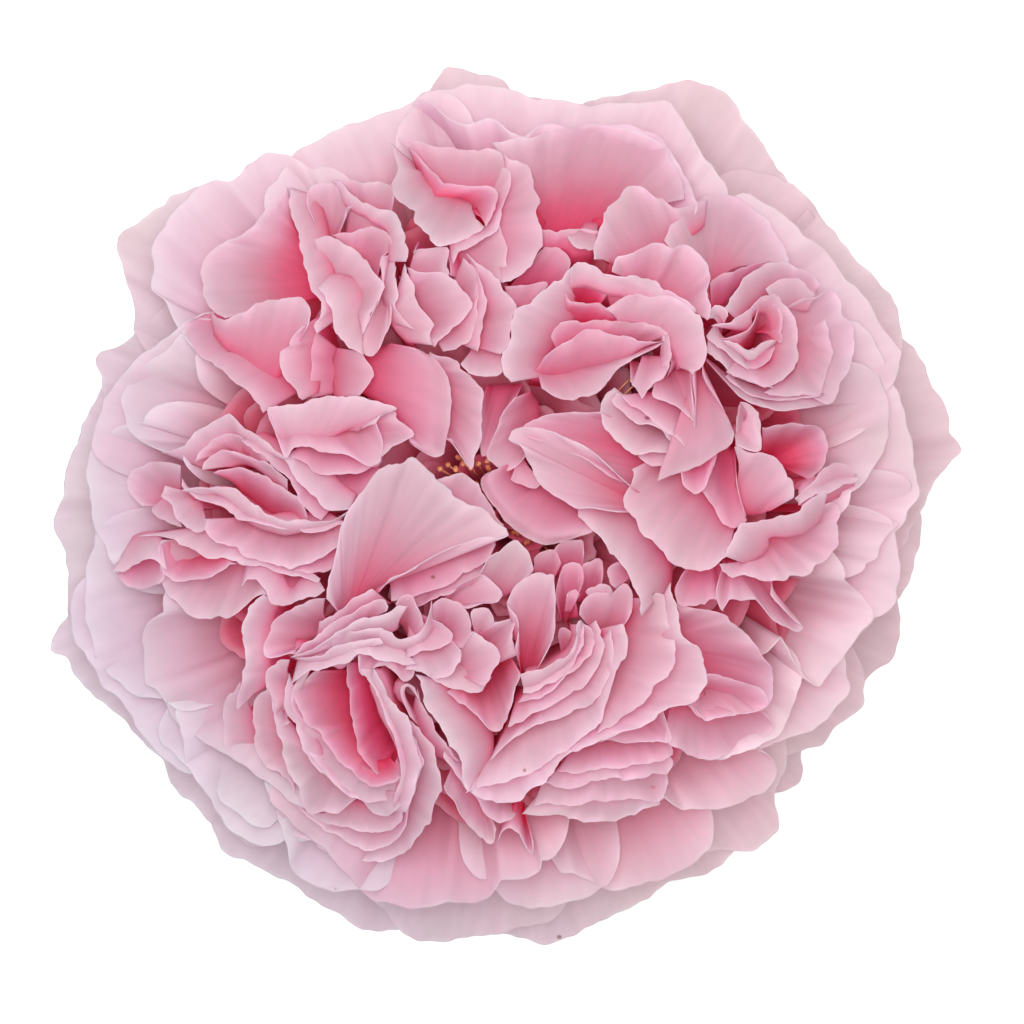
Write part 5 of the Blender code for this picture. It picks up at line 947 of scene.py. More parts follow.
def roundedEnds(plan, along, focus, most):
    # carries a rim on past both ends in a quarter turn towards the focus, and tells how far each point turned
    bend = np.linspace(0.0, 1.0, 8)[1:, None] * math.pi / 2
    size = min(most, 0.2 * along[-1])
    ends = []
    for at, before in ((plan[0], plan[2]), (plan[-1], plan[-3])):
        onward = (at - before) / np.linalg.norm(at - before)
        inward = focus - at - (focus - at) @ onward * onward
        inward = inward / max(np.linalg.norm(inward), 0.001)
        ends.append(at + size * (0.7 * onward * np.sin(bend) + inward * (1.0 - np.cos(bend))))
    plan = np.vstack([ends[0][::-1], plan, ends[1]])
    turned = np.zeros(len(plan))
    turned[-len(bend):] = size * (1.0 - np.cos(bend[:, 0]))
    turned[:len(bend)] = turned[-len(bend):][::-1]
    added = size * bend[:, 0]
    return plan, np.r_[-added[::-1], along, along[-1] + added], turned


def foldPetal(kind, focus, lift, rim, chance):
    # each column is a cubic: up from the hip, past the focus, then out and up to the rim with a small curl
    shape, lengths = folds[kind], waveLengths["fold"]
    plan, along = rimCurve(rim, sheetGrid["pitch"])
    plan = plan - bloom["middle"]
    if focus is None:
        # the inside of the rim's own bow
        width = np.linalg.norm(plan[-1] - plan[0])
        chord = 0.5 * (plan[0] + plan[-1])
        bow = chord - plan.mean(axis=0)
        if np.linalg.norm(bow) < 0.08 * max(width, 1.0):
            across = np.array([plan[0][1] - plan[-1][1], plan[-1][0] - plan[0][0]])
            bow = across * np.sign(-across @ chord)
        focus = plan.mean(axis=0) + bow / np.linalg.norm(bow) * max(0.5 * width, 4.0)
    else:
        focus = np.array(focus) - bloom["middle"]
    plan, along, turned = roundedEnds(plan, along, focus, shape["corner"])
    toRim = plan - focus
    dist = np.linalg.norm(toRim, axis=1)[:, None] + 0.001
    outward = toRim / dist
    plan = plan + outward * waves(along, chance, lengths["rag"], shape["rag"])[:, None]
    radius = np.hypot(plan[:, 0], plan[:, 1])
    ripple = waves(along, chance, lengths["wave"], shape["wave"])
    high = domeHeight(radius) + lift * liftShare + ripple - 1.5 * turned
    inset = np.minimum(shape["lean"] * dist, shape["most"])
    foot = focus / max(np.linalg.norm(focus), 1.0) * min(bloom["innerFeet"], np.linalg.norm(focus))
    footHigh = hipHeight(np.linalg.norm(foot)) + bloom["footLift"]
    edge = plan - outward * shape["curl"]
    points = [
        np.column_stack([foot + 0.08 * toRim, np.full(len(plan), footHigh)]),
        np.column_stack([blendTo(foot, focus, 0.6) + 0.25 * toRim, 0.5 * high]),
        np.column_stack([edge - outward * inset, high - inset[:, 0] * shape["steep"]]),
        np.column_stack([edge, high]),
    ]
    rows = rowShares(sheetGrid["rows"])
    grid = bezier([p[None] for p in points], rows[:, :, None])
    turn = ease((rows[:, :, None] - 0.93) / 0.07) ** 2
    grid[..., :2] += turn * outward * shape["curl"]
    grid[..., 2] += buckle(along, rows, chance, lengths["swell"], shape["swell"])
    return grid, along, np.zeros((2, len(grid)))


def broadPetal(kind, near, lift, rim, chance):
    # a petal seen on its broad side: from the low edge where it comes out from under its neighbours up to the
    # rim, and below that edge a wall down to the hip
    shape, lengths = faces[kind], waveLengths["broad"]
    plan, along = rimCurve(rim, sheetGrid["pitch"])
    plan = plan - bloom["middle"]
    low = rimCurve(near, 1.0, len(plan))[0] - bloom["middle"]
    toRim = plan - low
    dist = np.linalg.norm(toRim, axis=1)[:, None] + 0.001
    low = low - toRim / dist * tuck["under"]
    plan = plan + toRim / dist * waves(along, chance, lengths["rag"], shape["rag"], count=7)[:, None]
    radius = np.hypot(plan[:, 0], plan[:, 1])
    wide = ease(dist[:, 0] / 4.0)
    high = domeHeight(radius) + lift * liftShare
    ripple = waves(along, chance, lengths["wave"], shape["wave"])
    lowHigh = domeHeight(np.hypot(low[:, 0], low[:, 1])) + lift * liftShare
    lowHigh = lowHigh - shape["dip"] * wide - tuck["drop"]
    share = rowShares(sheetGrid["rows"])
    facePlan = blendTo(low, plan, share[..., None])
    climb = 1.0 - (1.0 - share) ** shape["bow"]
    swells = buckle(along, share, chance, lengths["swell"], shape["swell"])
    faceHigh = blendTo(lowHigh, high, climb) + swells
    faceHigh = faceHigh + shape["curl"] * wide * ease((share - 0.8) / 0.2) + ripple * share ** 4
    lowRadius = np.maximum(np.linalg.norm(low, axis=1), 1.0)
    foot = low * np.minimum(1.0, bloom["innerFeet"] / lowRadius)[:, None]
    footHigh = hipHeight(np.linalg.norm(foot, axis=1)) + bloom["footLift"]
    down = np.linspace(0.0, 1.0, sheetGrid["wallRows"] + 1)[:-1, None]
    wallPlan = blendTo(foot, low, ease(down)[..., None] ** 0.5)
    wallHigh = blendTo(footHigh, lowHigh, down)
    heights = np.concatenate([wallHigh, faceHigh])[..., None]
    # painted shade: near the low edge, where the petal goes under its neighbours, the colour is pushed deeper
    # and richer
    hidden = np.r_[np.ones(sheetGrid["wallRows"]), 1.0 - share[:, 0]]
    shade = np.stack([shape["shade"] * hidden ** 1.2, 0.7 * hidden ** 3])
    grid = np.concatenate([np.concatenate([wallPlan, facePlan]), heights], axis=-1)
    return grid, along, shade


def addSheets(name, sheets, finish):
    # joins the grids into one mesh. UV map "petal" holds the distance along the rim and the depth below it in
    # centimetres, pushed deeper near a broad petal's low edge as painted shade; UV map "hollow" holds the
    # depth below the dome in centimetres and the petal's tone, made richer near that low edge as painted
    # shade
    points, polygons, uv, hollow, start = [], [], [], [], 0
    for grid, along, shade, tone in sheets:
        rows, columns = grid.shape[:2]
        number = np.arange(rows * columns).reshape(rows, columns) + start
        ring = np.stack([number[:-1, :-1], number[:-1, 1:], number[1:, 1:], number[1:, :-1]], -1)
        polygons.append(ring.reshape(-1, 4))
        step = np.linalg.norm(np.diff(grid, axis=0), axis=-1)
        depth = np.vstack([np.cumsum(step[::-1], axis=0)[::-1], np.zeros((1, columns))])
        # painted shade: near a broad petal's low edge the depth is pushed further down the ramp
        depth = np.maximum(depth, shade[0][:, None])
        uv.append(np.stack([np.broadcast_to(along, (rows, columns)), depth], -1).reshape(-1, 2) * 0.1)
        below = domeHeight(np.hypot(grid[..., 0], grid[..., 1])) - grid[..., 2]
        # painted shade: the tone grows richer towards a low edge
        toneWithShade = blendTo(tone, 1.0, np.broadcast_to(shade[1][:, None], below.shape))
        hollow.append(np.stack([below * 0.1, toneWithShade], -1).reshape(-1, 2))
        points.append(grid.reshape(-1, 3))
        start += rows * columns
    mesh = bpy.data.meshes.new(name)
    mesh.from_pydata((np.vstack(points) * mm).tolist(), [], np.vstack(polygons).tolist())
    corners = np.empty(len(mesh.loops), dtype=np.int32)
    mesh.loops.foreach_get("vertex_index", corners)
    for label, values in (("petal", uv), ("hollow", hollow)):
        layer = mesh.uv_layers.new(name=label)
        layer.data.foreach_set("uv", np.vstack(values)[corners].astype(np.float32).ravel())
    mesh.update()
    mesh.shade_smooth()
    piece = bpy.data.objects.new(name, mesh)
    bpy.context.scene.collection.objects.link(piece)
    mesh.materials.append(bpy.data.materials[finish])
    solid = piece.modifiers.new("thickness", "SOLIDIFY")
    solid.thickness = sheetGrid["thickness"] * mm
    solid.offset = 0.0
    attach(piece, "root")
    return piece


# petal colours (sRGB 0 to 255) by distance from the rim in cm, for the palest and the richest petals, and the
# painted shade colour deep in the hollows. The near-white first stops are a painted highlight along the rim;
# further down the colour grows richer, partly the petal's own deeper base and partly painted shade where it
# runs under its neighbours
petalColours = {
    "guard petal": {"pale": [(0.0, (254, 248, 250)), (0.06, (251, 239, 243)), (0.8, (247, 229, 236)),
                             (1.6, (246, 208, 222))],
                    "rich": [(0.0, (250, 225, 232)), (0.1, (247, 215, 225)), (0.8, (245, 195, 210)),
                             (1.6, (240, 160, 184))],
                    "hollowShadeColour": (240, 130, 160), "sink": 0.0, "vein": 0.025, "paintedCoolLight": 0.7, "glow": 0.55,
                    "through": (1.0, 0.86, 0.9)},
    "outer petal": {"pale": [(0.0, (255, 252, 254)), (0.06, (254, 246, 250)), (0.3, (250, 236, 243)),
                             (0.7, (249, 227, 238)), (1.1, (248, 209, 226)), (1.8, (246, 164, 193))],
                    "rich": [(0.0, (254, 240, 246)), (0.06, (250, 222, 233)), (0.5, (248, 192, 212)),
                             (1.1, (243, 148, 178)), (1.8, (238, 108, 145))],
                    "hollowShadeColour": (240, 120, 152), "sink": 0.3, "vein": 0.02, "paintedCoolLight": 0.7, "glow": 0.55,
                    "through": (1.0, 0.82, 0.88)},
    "inner petal": {"pale": [(0.0, (253, 249, 250)), (0.06, (251, 241, 244)), (0.2, (247, 229, 236)),
                             (0.6, (246, 218, 229)), (1.0, (246, 198, 217)), (1.6, (250, 156, 190)),
                             (2.4, (252, 94, 138))],
                    "rich": [(0.0, (253, 234, 241)), (0.06, (251, 213, 229)), (0.3, (248, 167, 202)),
                             (0.7, (250, 122, 171)), (1.3, (252, 88, 139))],
                    "hollowShadeColour": (254, 104, 150), "sink": 0.9, "vein": 0.03, "paintedCoolLight": 0.2, "glow": 0.6,
                    "through": (1.0, 0.8, 0.93)},
    "heart petal": {"pale": [(0.0, (255, 215, 228)), (0.03, (255, 190, 210)), (0.4, (255, 168, 194)),
                             (1.3, (253, 120, 164))],
                    "rich": [(0.0, (255, 190, 210)), (0.03, (253, 150, 184)), (0.4, (252, 110, 158)),
                             (1.3, (250, 84, 136))],
                    "hollowShadeColour": (252, 90, 142), "sink": 0.9, "vein": 0.03, "paintedCoolLight": 0.1, "glow": 0.6,
                    "through": (1.0, 0.8, 0.87)},
}

# what all petals share: the painted highlight line of a rim comes and goes, painted shade gathers in the
# hollows (cm under the dome), and a painted cool light on one side, patch tints, blemishes, veins and a faint
# relief lie over it
petalSurface = {
    "rimHighlightNoise": 220.0, "rimHighlightShift": 0.05, "hollow": (0.28, 1.35),
    "paintedLightWay": (0.85, 0.5, 0.0), "paintedLightRange": (0.01, -0.045), "paintedCoolLightTint": (0.91, 0.98, 1.01),
    "patchNoise": 60.0, "patchRange": (0.5, 0.72), "patchShare": 0.5, "patchTint": (1.0, 1.04, 0.99),
    "speckNoise": 70.0, "speckRange": (0.022, 0.012), "speckShare": 0.6, "speckColour": (150, 70, 60),
    "veinStretch": (9.0, 2.0, 1.0), "relief": 0.12, "reliefDepth": 0.0002, "rough": 0.62, "shine": 0.3,
}


def linear(colour):
    # sRGB 0 to 255 to the linear colour of a socket
    share = np.array(colour) / 255.0
    return (*np.where(share <= 0.04045, share / 12.92, ((share + 0.055) / 1.055) ** 2.4).tolist(), 1.0)


def petalMaterial(name, look):
    # colour by depth from the rim (a painted highlight at the rim, richer further down, partly painted shade)
    # and by the petal's tone (partly painted shade), with painted shade in the hollows and a painted cool
    # light on one side, mixed with a glow of light from behind
    material = bpy.data.materials.new(name)
    material.use_nodes = True
    nodes, links = material.node_tree.nodes, material.node_tree.links
    shader = nodes["Principled BSDF"]
    out = nodes["Material Output"]
    surface = petalSurface

    def node(kind, **values):
        made = nodes.new("ShaderNode" + kind)
        for socket, value in values.items():
            made.inputs[socket.replace("_", " ")].default_value = value
        return made

    place = node("UVMap")
    place.uv_map = "petal"
    split = node("SeparateXYZ")
    links.new(place.outputs[0], split.inputs[0])
    hollowPlace = node("UVMap")
    hollowPlace.uv_map = "hollow"
    hollowSplit = node("SeparateXYZ")
    links.new(hollowPlace.outputs[0], hollowSplit.inputs[0])

    # the painted highlight along a rim comes and goes: noise moves the depth on
    where = node("TexCoord")
    comes = node("TexNoise", Scale=surface["rimHighlightNoise"], Detail=1.0)
    links.new(where.outputs["Object"], comes.inputs[0])
    fromRim = node("Math")
    links.new(split.outputs[1], fromRim.inputs[0])

    def ramp(stops):
        deepest = stops[-1][0]
        divide = node("Math")
        divide.operation = "DIVIDE"
        divide.inputs[1].default_value = deepest
        made = node("ValToRGB")
        links.new(fromRim.outputs[0], divide.inputs[0])
        links.new(divide.outputs[0], made.inputs[0])
        for k, (depth, colour) in enumerate(stops):
            stop = made.color_ramp.elements[k] if k < 2 else made.color_ramp.elements.new(depth / deepest)
            stop.position = depth / deepest
            stop.color = linear(colour)
        return made.outputs[0]

    def mixColour(share, first, second):
        made = nodes.new("ShaderNodeMix")
        made.data_type = "RGBA"
        for socket, value in ((made.inputs[0], share), (made.inputs[6], first), (made.inputs[7], second)):
            if isinstance(value, (tuple, float)):
                socket.default_value = value
            else:
                links.new(value, socket)
        return made.outputs[2]

    def range01(value, low, high, least=0.0, most=1.0):
        made = node("MapRange", From_Min=low, From_Max=high, To_Min=least, To_Max=most)
        made.interpolation_type = "SMOOTHSTEP"
        links.new(value, made.inputs[0])
        return made.outputs[0]

    links.new(range01(comes.outputs[0], 0.4, 0.6, 0.0, surface["rimHighlightShift"]), fromRim.inputs[1])
    colour = mixColour(hollowSplit.outputs[1], ramp(look["pale"]), ramp(look["rich"]))
    # painted shade: the deeper a point lies under the dome, the more it takes the hollows' shade colour
    paintedHollowShade = range01(hollowSplit.outputs[0], *surface["hollow"], 0.0, look["sink"])
    colour = mixColour(paintedHollowShade, colour, linear(look["hollowShadeColour"]))

    # painted cool light: a lilac tint on the left and lower side of the flower seen from above, where cooler
    # light falls; the right keeps its warmer colour
    paintedLightSide = node("VectorMath")
    paintedLightSide.operation = "DOT_PRODUCT"
    paintedLightSide.inputs[1].default_value = surface["paintedLightWay"]
    links.new(where.outputs["Object"], paintedLightSide.inputs[0])
    patches = node("TexNoise", Scale=surface["patchNoise"], Detail=2.0)
    links.new(where.outputs["Object"], patches.inputs[0])
    paintedCoolLight = range01(paintedLightSide.outputs["Value"], *surface["paintedLightRange"], 0.0, look["paintedCoolLight"])
    colour = mixColour(paintedCoolLight, colour, multiplied(node, links, colour, surface["paintedCoolLightTint"]))
    cream = range01(patches.outputs[0], *surface["patchRange"], 0.0, surface["patchShare"])
    colour = mixColour(cream, colour, multiplied(node, links, colour, surface["patchTint"]))

    # a few small brown blemishes where a cell of the texture has its middle near the surface
    cells = node("TexVoronoi", Scale=surface["speckNoise"])
    links.new(where.outputs["Object"], cells.inputs["Vector"])
    speck = range01(cells.outputs["Distance"], *surface["speckRange"], 0.0, surface["speckShare"])
    colour = mixColour(speck, colour, linear(surface["speckColour"]))

    stretch = node("Mapping")
    stretch.inputs["Scale"].default_value = surface["veinStretch"]
    links.new(place.outputs[0], stretch.inputs[0])
    veins = node("TexNoise", Scale=1.0, Detail=4.0)
    links.new(stretch.outputs[0], veins.inputs[0])
    veinTone = range01(veins.outputs[0], 0.3, 0.7, 1.0 - look["vein"], 1.0 + 0.5 * look["vein"])
    tint = node("VectorMath")
    tint.operation = "SCALE"
    links.new(colour, tint.inputs[0])
    links.new(veinTone, tint.inputs["Scale"])

    bump = node("Bump", Strength=surface["relief"], Distance=surface["reliefDepth"])
    links.new(veins.outputs[0], bump.inputs["Height"])
    links.new(tint.outputs[0], shader.inputs["Base Color"])
    links.new(bump.outputs[0], shader.inputs["Normal"])
    shader.inputs["Roughness"].default_value = surface["rough"]
    shader.inputs["Specular IOR Level"].default_value = surface["shine"]

    # light that comes through a petal is deeper in colour than light off its face
    glow = node("BsdfTranslucent")
    links.new(multiplied(node, links, tint.outputs[0], look["through"]), glow.inputs["Color"])
    mixed = nodes.new("ShaderNodeMixShader")
    mixed.inputs[0].default_value = look["glow"]
    links.new(shader.outputs[0], mixed.inputs[1])
    links.new(glow.outputs[0], mixed.inputs[2])
    links.new(mixed.outputs[0], out.inputs[0])
    return material


def multiplied(node, links, colour, share):
    # a colour times a fixed share of red, green and blue
    made = node("VectorMath")
    made.operation = "MULTIPLY"
    made.inputs[1].default_value = share
    links.new(colour, made.inputs[0])
    return made.outputs[0]


for name, look in petalColours.items():
    petalMaterial(name, look)
print("materials made")

nodeNames = set(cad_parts)
finishOf = {"guard": "guard petal", "outer": "outer petal"}
pieces = {}
chance = np.random.default_rng(11)
for name, kind, seat, lift, tone, rim in petalList:
    make = ringPetal if kind in rings else broadPetal if kind in faces else foldPetal
    pieces.setdefault(name, []).append((kind, (*make(kind, seat, lift, rim, chance), tone)))
for name, made in pieces.items():
    kind = made[0][0]
    finish = finishOf.get(kind, "inner petal")
    piece = addSheets(name + "_sheet" if name in nodeNames else name, [sheet for _, sheet in made], finish)
    if name in nodeNames:
        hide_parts(name)
print("petals made:", len(petalList))


def halved(grid, along, shade):
    # every second point, for sheets that are hardly seen
    return grid[::2, ::2], along[::2], shade[:, ::2]


# petals that stay below the others and fill the flower's depth: ring radius, count, depth under the dome (mm)
underPetals = {
    "rings": [(2.5, 5, 6.0), (6.0, 8, 6.2), (10.0, 9, 6.6), (14.0, 10, 7.0), (18.0, 11, 7.0),
              (22.0, 12, 7.4), (26.0, 13, 7.6), (30.0, 14, 8.0)],
    "heartRings": 2, "overlap": 1.35, "shift": 0.4, "spread": 0.8, "uneven": 1.5, "tone": 0.5,
    "rimPoints": 9, "wave": 7.0,
}
for ring, (radius, count, depth) in enumerate(underPetals["rings"]):
    sheets = []
    for k in range(count):
        start = 2 * math.pi * (k + underPetals["shift"] * ring) / count
        end = start + 2 * math.pi * underPetals["overlap"] / count
        turn = np.linspace(start, end, underPetals["rimPoints"])
        spread = np.linspace(-underPetals["spread"], underPetals["spread"], underPetals["rimPoints"])
        far = radius + waves(turn * radius, chance, underPetals["wave"], underPetals["spread"]) + spread
        rim = np.column_stack([far * np.cos(turn), far * np.sin(turn)]) + bloom["middle"]
        lift = -depth / liftShare + chance.uniform(-underPetals["uneven"], underPetals["uneven"])
        sheet = foldPetal("lip", bloom["middle"], lift, rim, chance)
        sheets.append((*halved(*sheet), underPetals["tone"]))
    finish = "heart petal" if ring < underPetals["heartRings"] else "inner petal"
    piece = addSheets("under_petals_%d" % (ring + 1), sheets, finish)
print("under petals made:", sum(count for _, count, _ in underPetals["rings"]))

# layers under the outer petals that close the side of the flower: share of the radius, how much lower (mm)
sideLayers = [(0.97, 4.5), (0.95, 9.5)]
for layer, (share, lower) in enumerate(sideLayers, 1):
    sheets = []
    for name, kind, tier, lift, tone, rim in petalList:
        if kind == "outer":
            drawnIn = (np.array(rim) - bloom["middle"]) * share + bloom["middle"]
            sheet = ringPetal("outer", tier + layer, lift - lower, drawnIn, chance)
            sheets.append((*halved(*sheet), tone))
    piece = addSheets("under_petals_outer_%d" % layer, sheets, "outer petal")
print("side closed by", len(sheets), "petals a layer")


def plainMaterial(name, first, second, size, rough):
    # two colours mixed by soft noise of the given size in mm
    material = bpy.data.materials.new(name)
    material.use_nodes = True
    nodes, links = material.node_tree.nodes, material.node_tree.links
    where = nodes.new("ShaderNodeTexCoord")
    noise = nodes.new("ShaderNodeTexNoise")
    noise.inputs["Scale"].default_value = 1000.0 / size
    noise.inputs["Detail"].default_value = 3.0
    stops = nodes.new("ShaderNodeValToRGB")
    stops.color_ramp.elements[0].position = 0.35
    stops.color_ramp.elements[1].position = 0.65
    stops.color_ramp.elements[0].color = linear(first)
    stops.color_ramp.elements[1].color = linear(second)
    shader = nodes["Principled BSDF"]
    shader.inputs["Roughness"].default_value = rough
    shader.inputs["Specular IOR Level"].default_value = 0.3
    links.new(where.outputs["Object"], noise.inputs[0])
    links.new(noise.outputs[0], stops.inputs[0])
    links.new(stops.outputs[0], shader.inputs["Base Color"])
    return material


# under the petals: hip, cut stem, sepals, stamens and styles (mm; colours sRGB 0 to 255)
green = {
    "hip": {"colours": ((96, 128, 62), (130, 158, 88)), "ribs": 0.12, "steps": 96},
    "stem": {"colours": ((88, 116, 58), (116, 140, 76)), "radius": 2.3, "bevel": 0.15,
             "height": 2.2, "foot": 0.05},
    "sepals": {"colours": ((98, 132, 66), (140, 170, 100)), "count": 5, "turn": 0.25, "start": (8.5, 8.85),
               "length": 17.0, "width": 8.0, "tip": 1.0, "keel": 0.9, "thickness": 0.45, "teeth": 0.25},
}
heart = {
    "stamens": 70, "filament": 0.11,    # how many in the ring, and the radius of each
    "anther": (0.3, 0.6),               # its radius and half its length
    "foot": 2.9,                        # radius of the ring that they spring from
    "reach": (1.6, 8.6),                # nearest and furthest tip
    "below": (4.6, 7.6),                # how far the tips stay under the dome
    "strays": [(13.2, 14.8), (13.7, 14.1), (-7.2, 4.3), (-6.4, 4.7), (-5.6, 4.3), (-4.8, 4.9), (-4.1, 4.5),
               (-3.4, 4.8), (0.1, -1.1), (0.5, -1.9), (-0.6, -0.7), (-2.4, 5.2)],
    "strayBelow": (2.2, 3.2),           # the stray tips above, seen between the petals, stand higher
    "step": 2.39996,                    # turn from one stamen or style to the next
    "styles": 18, "styleRadius": 0.22, "styleTop": 20.0, "styleSpread": 1.05,
    "filamentRings": 9, "antherRings": 7, "styleRings": 8,    # rings of points along each
    "filamentColours": ((222, 150, 110), (236, 190, 150)), "antherColours": ((205, 130, 92), (232, 172, 124)),
    "styleColours": ((196, 170, 96), (214, 190, 120)),
}


def addTurned(name, profile, steps, ribs, finish):
    # a profile of radius and height turned round the flower's axis; the radius swells in five soft ribs
    curve = rimCurve(profile, 0.35)[0]
    turn = np.linspace(0.0, 2 * math.pi, steps, endpoint=False)
    radius = curve[:, :1] * (1.0 + ribs * 0.1 * np.cos(5 * turn))
    high = np.broadcast_to(curve[:, 1:], radius.shape)
    grid = np.stack([radius * np.cos(turn), radius * np.sin(turn), high], -1)[1:-1]
    rows = len(grid)
    points = np.vstack([grid.reshape(-1, 3), [[0, 0, curve[0][1]]], [[0, 0, curve[-1][1]]]])
    number = np.arange(rows * steps).reshape(rows, steps)
    after = np.roll(number, -1, axis=1)
    polygons = np.stack([number[:-1], number[1:], after[1:], after[:-1]], -1).reshape(-1, 4).tolist()
    polygons += np.stack([number[0], after[0], np.full(steps, rows * steps)], -1).tolist()
    polygons += np.stack([after[-1], number[-1], np.full(steps, rows * steps + 1)], -1).tolist()
    return addMesh(name, points, polygons, finish)


def addMesh(name, points, polygons, finish):
    # points in mm become one smooth mesh in metres, on the flower's one body
    mesh = bpy.data.meshes.new(name)
    mesh.from_pydata((np.asarray(points) * mm).tolist(), [], polygons)
    mesh.update()
    mesh.shade_smooth()
    piece = bpy.data.objects.new(name, mesh)
    bpy.context.scene.collection.objects.link(piece)
    mesh.materials.append(bpy.data.materials[finish])
    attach(piece, "root")
    return piece


def tubes(paths, radii, sides=8):
    # closed tubes along the given paths: rings of points square to the path, and one point at each end
    turn = np.linspace(0.0, 2 * math.pi, sides, endpoint=False)
    points, polygons, start = [], [], 0
    for path, radius in zip(paths, radii):
        way = np.gradient(path, axis=0)
        way = way / np.linalg.norm(way, axis=1)[:, None]
        side = np.cross(way, (0.31, 0.95, 0.05))
        side = side / np.linalg.norm(side, axis=1)[:, None]
        other = np.cross(way, side)
        around = side[:, None] * np.cos(turn)[:, None] + other[:, None] * np.sin(turn)[:, None]
        wall = path[:, None] + radius[:, None, None] * around
        rows = len(path)
        number = np.arange(rows * sides).reshape(rows, sides) + start
        after = np.roll(number, -1, axis=1)
        polygons += np.stack([number[:-1], after[:-1], after[1:], number[1:]], -1).reshape(-1, 4).tolist()
        low, top = start + rows * sides, start + rows * sides + 1
        polygons += np.stack([after[0], number[0], np.full(sides, low)], -1).tolist()
        polygons += np.stack([number[-1], after[-1], np.full(sides, top)], -1).tolist()
        points += [wall.reshape(-1, 3), path[:1] - 0.3 * radius[0] * way[:1],
                   path[-1:] + 0.3 * radius[-1] * way[-1:]]
        start += rows * sides + 2
    return np.vstack(points), polygons


for name in ("hip", "stem", "sepals"):
    plainMaterial(name, *green[name]["colours"], size=3.0, rough=0.6)
plainMaterial("filament", *heart["filamentColours"], size=1.0, rough=0.6)
plainMaterial("anther", *heart["antherColours"], size=0.6, rough=0.7)
plainMaterial("style", *heart["styleColours"], size=1.0, rough=0.6)

hipTop = [(r, hipHeight(r)) for r in (0.0, 3.0, 6.0, 8.6, 9.5)]
hipSide = [(9.6, 9.9), (8.3, 9.2), (6.7, 7.4), (6.3, 5.2), (5.1, 3.5), (2.9, 2.55), (0.0, 2.5)]
piece = addTurned("hip_skin", hipTop + hipSide, green["hip"]["steps"], green["hip"]["ribs"], "hip")
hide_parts("rose_hip")

stem = green["stem"]
top, low, edge = stem["height"], stem["foot"], stem["radius"] - stem["bevel"]
cut = [(0.0, top), (1.2, top), (edge, top), (stem["radius"], top - 0.2), (stem["radius"], 1.0),
       (stem["radius"], low + 0.2), (edge, low), (1.2, low), (0.0, low)]
piece = addTurned("stem_skin", cut, 48, 0.1, "stem")
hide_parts("stem_stub")

sepal = green["sepals"]
for number in range(sepal["count"]):
    # half width falls to a point with small teeth; the leaf bends back to the surface
    across = np.linspace(-1.0, 1.0, 21)
    along = np.linspace(0.0, 1.0, 46)[:, None]
    half = 0.5 * sepal["width"] * (1.0 - along ** 1.6) * blendTo(0.75, 1.0, ease(along * 4.0)) + 0.15
    toothed = ease(along * 3.0) * ease((1.0 - along) * 5.0)
    half = half - sepal["teeth"] * np.abs(np.sin(along * 22.0)) * toothed
    reach = sepal["start"][0] + sepal["length"] * along
    high = blendTo(sepal["start"][1], sepal["tip"], along ** 1.4)
    high = high + sepal["keel"] * across ** 2 * along * (1.0 - along)
    high = high - 0.25 * np.exp(-(across * half / 0.35) ** 2) * (1.0 - along) ** 0.5
    side = half * across
    turn = 2.0 * math.pi * (number + sepal["turn"]) / sepal["count"]
    grid = np.stack([reach * math.cos(turn) - side * math.sin(turn),
                     reach * math.sin(turn) + side * math.cos(turn), high], -1)
    index = np.arange(grid.shape[0] * grid.shape[1]).reshape(grid.shape[:2])
    quads = np.stack([index[:-1, :-1], index[1:, :-1], index[1:, 1:], index[:-1, 1:]], -1).reshape(-1, 4)
    piece = addMesh("sepal_leaf_%d" % (number + 1), grid.reshape(-1, 3), quads.tolist(), "sepals")
    solid = piece.modifiers.new("thickness", "SOLIDIFY")
    solid.thickness = sepal["thickness"] * mm
    solid.offset = 0.0
    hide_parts("sepal_%d" % (number + 1))

# stamens spring from a ring on the hip, lean outwards and end in plump anthers
paths, anthers = [], []
for number in range(heart["stamens"] + len(heart["strays"])):
    turn = number * heart["step"]
    if number < heart["stamens"]:
        far = chance.uniform(*heart["reach"])
        tip = np.array([far * math.cos(turn), far * math.sin(turn)])
        below = heart["below"]
    else:
        tip = np.array(heart["strays"][number - heart["stamens"]]) - bloom["middle"]
        turn = math.atan2(tip[1], tip[0])
        below = heart["strayBelow"]
    foot = heart["foot"] * np.array([math.cos(turn), math.sin(turn)])
    top = domeHeight(np.linalg.norm(tip)) - chance.uniform(*below)
    t = np.linspace(0.0, 1.0, heart["filamentRings"])[:, None]
    plan = blendTo(foot, tip, t ** 2)
    paths.append(np.column_stack([plan, blendTo(hipHeight(heart["foot"]) + 0.2, top, t[:, 0] ** 0.9)]))
    lean = chance.uniform(-0.5, 0.5, 2)
    length = heart["anther"][1]
    s = np.linspace(-1.0, 1.0, heart["antherRings"])[:, None]
    anthers.append(np.array([*tip, top + 0.2]) + s * np.array([*(lean * length), 0.7 * length]))
even = np.full(heart["filamentRings"], heart["filament"])
filaments = addMesh("filaments", *tubes(paths, [even] * len(paths)), "filament")
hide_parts("stamen_ring")
bulge = heart["anther"][0] * np.sqrt(1.0 - 0.92 * np.linspace(-1.0, 1.0, heart["antherRings"]) ** 2)
piece = addMesh("anthers", *tubes(anthers, [bulge] * len(anthers)), "anther")

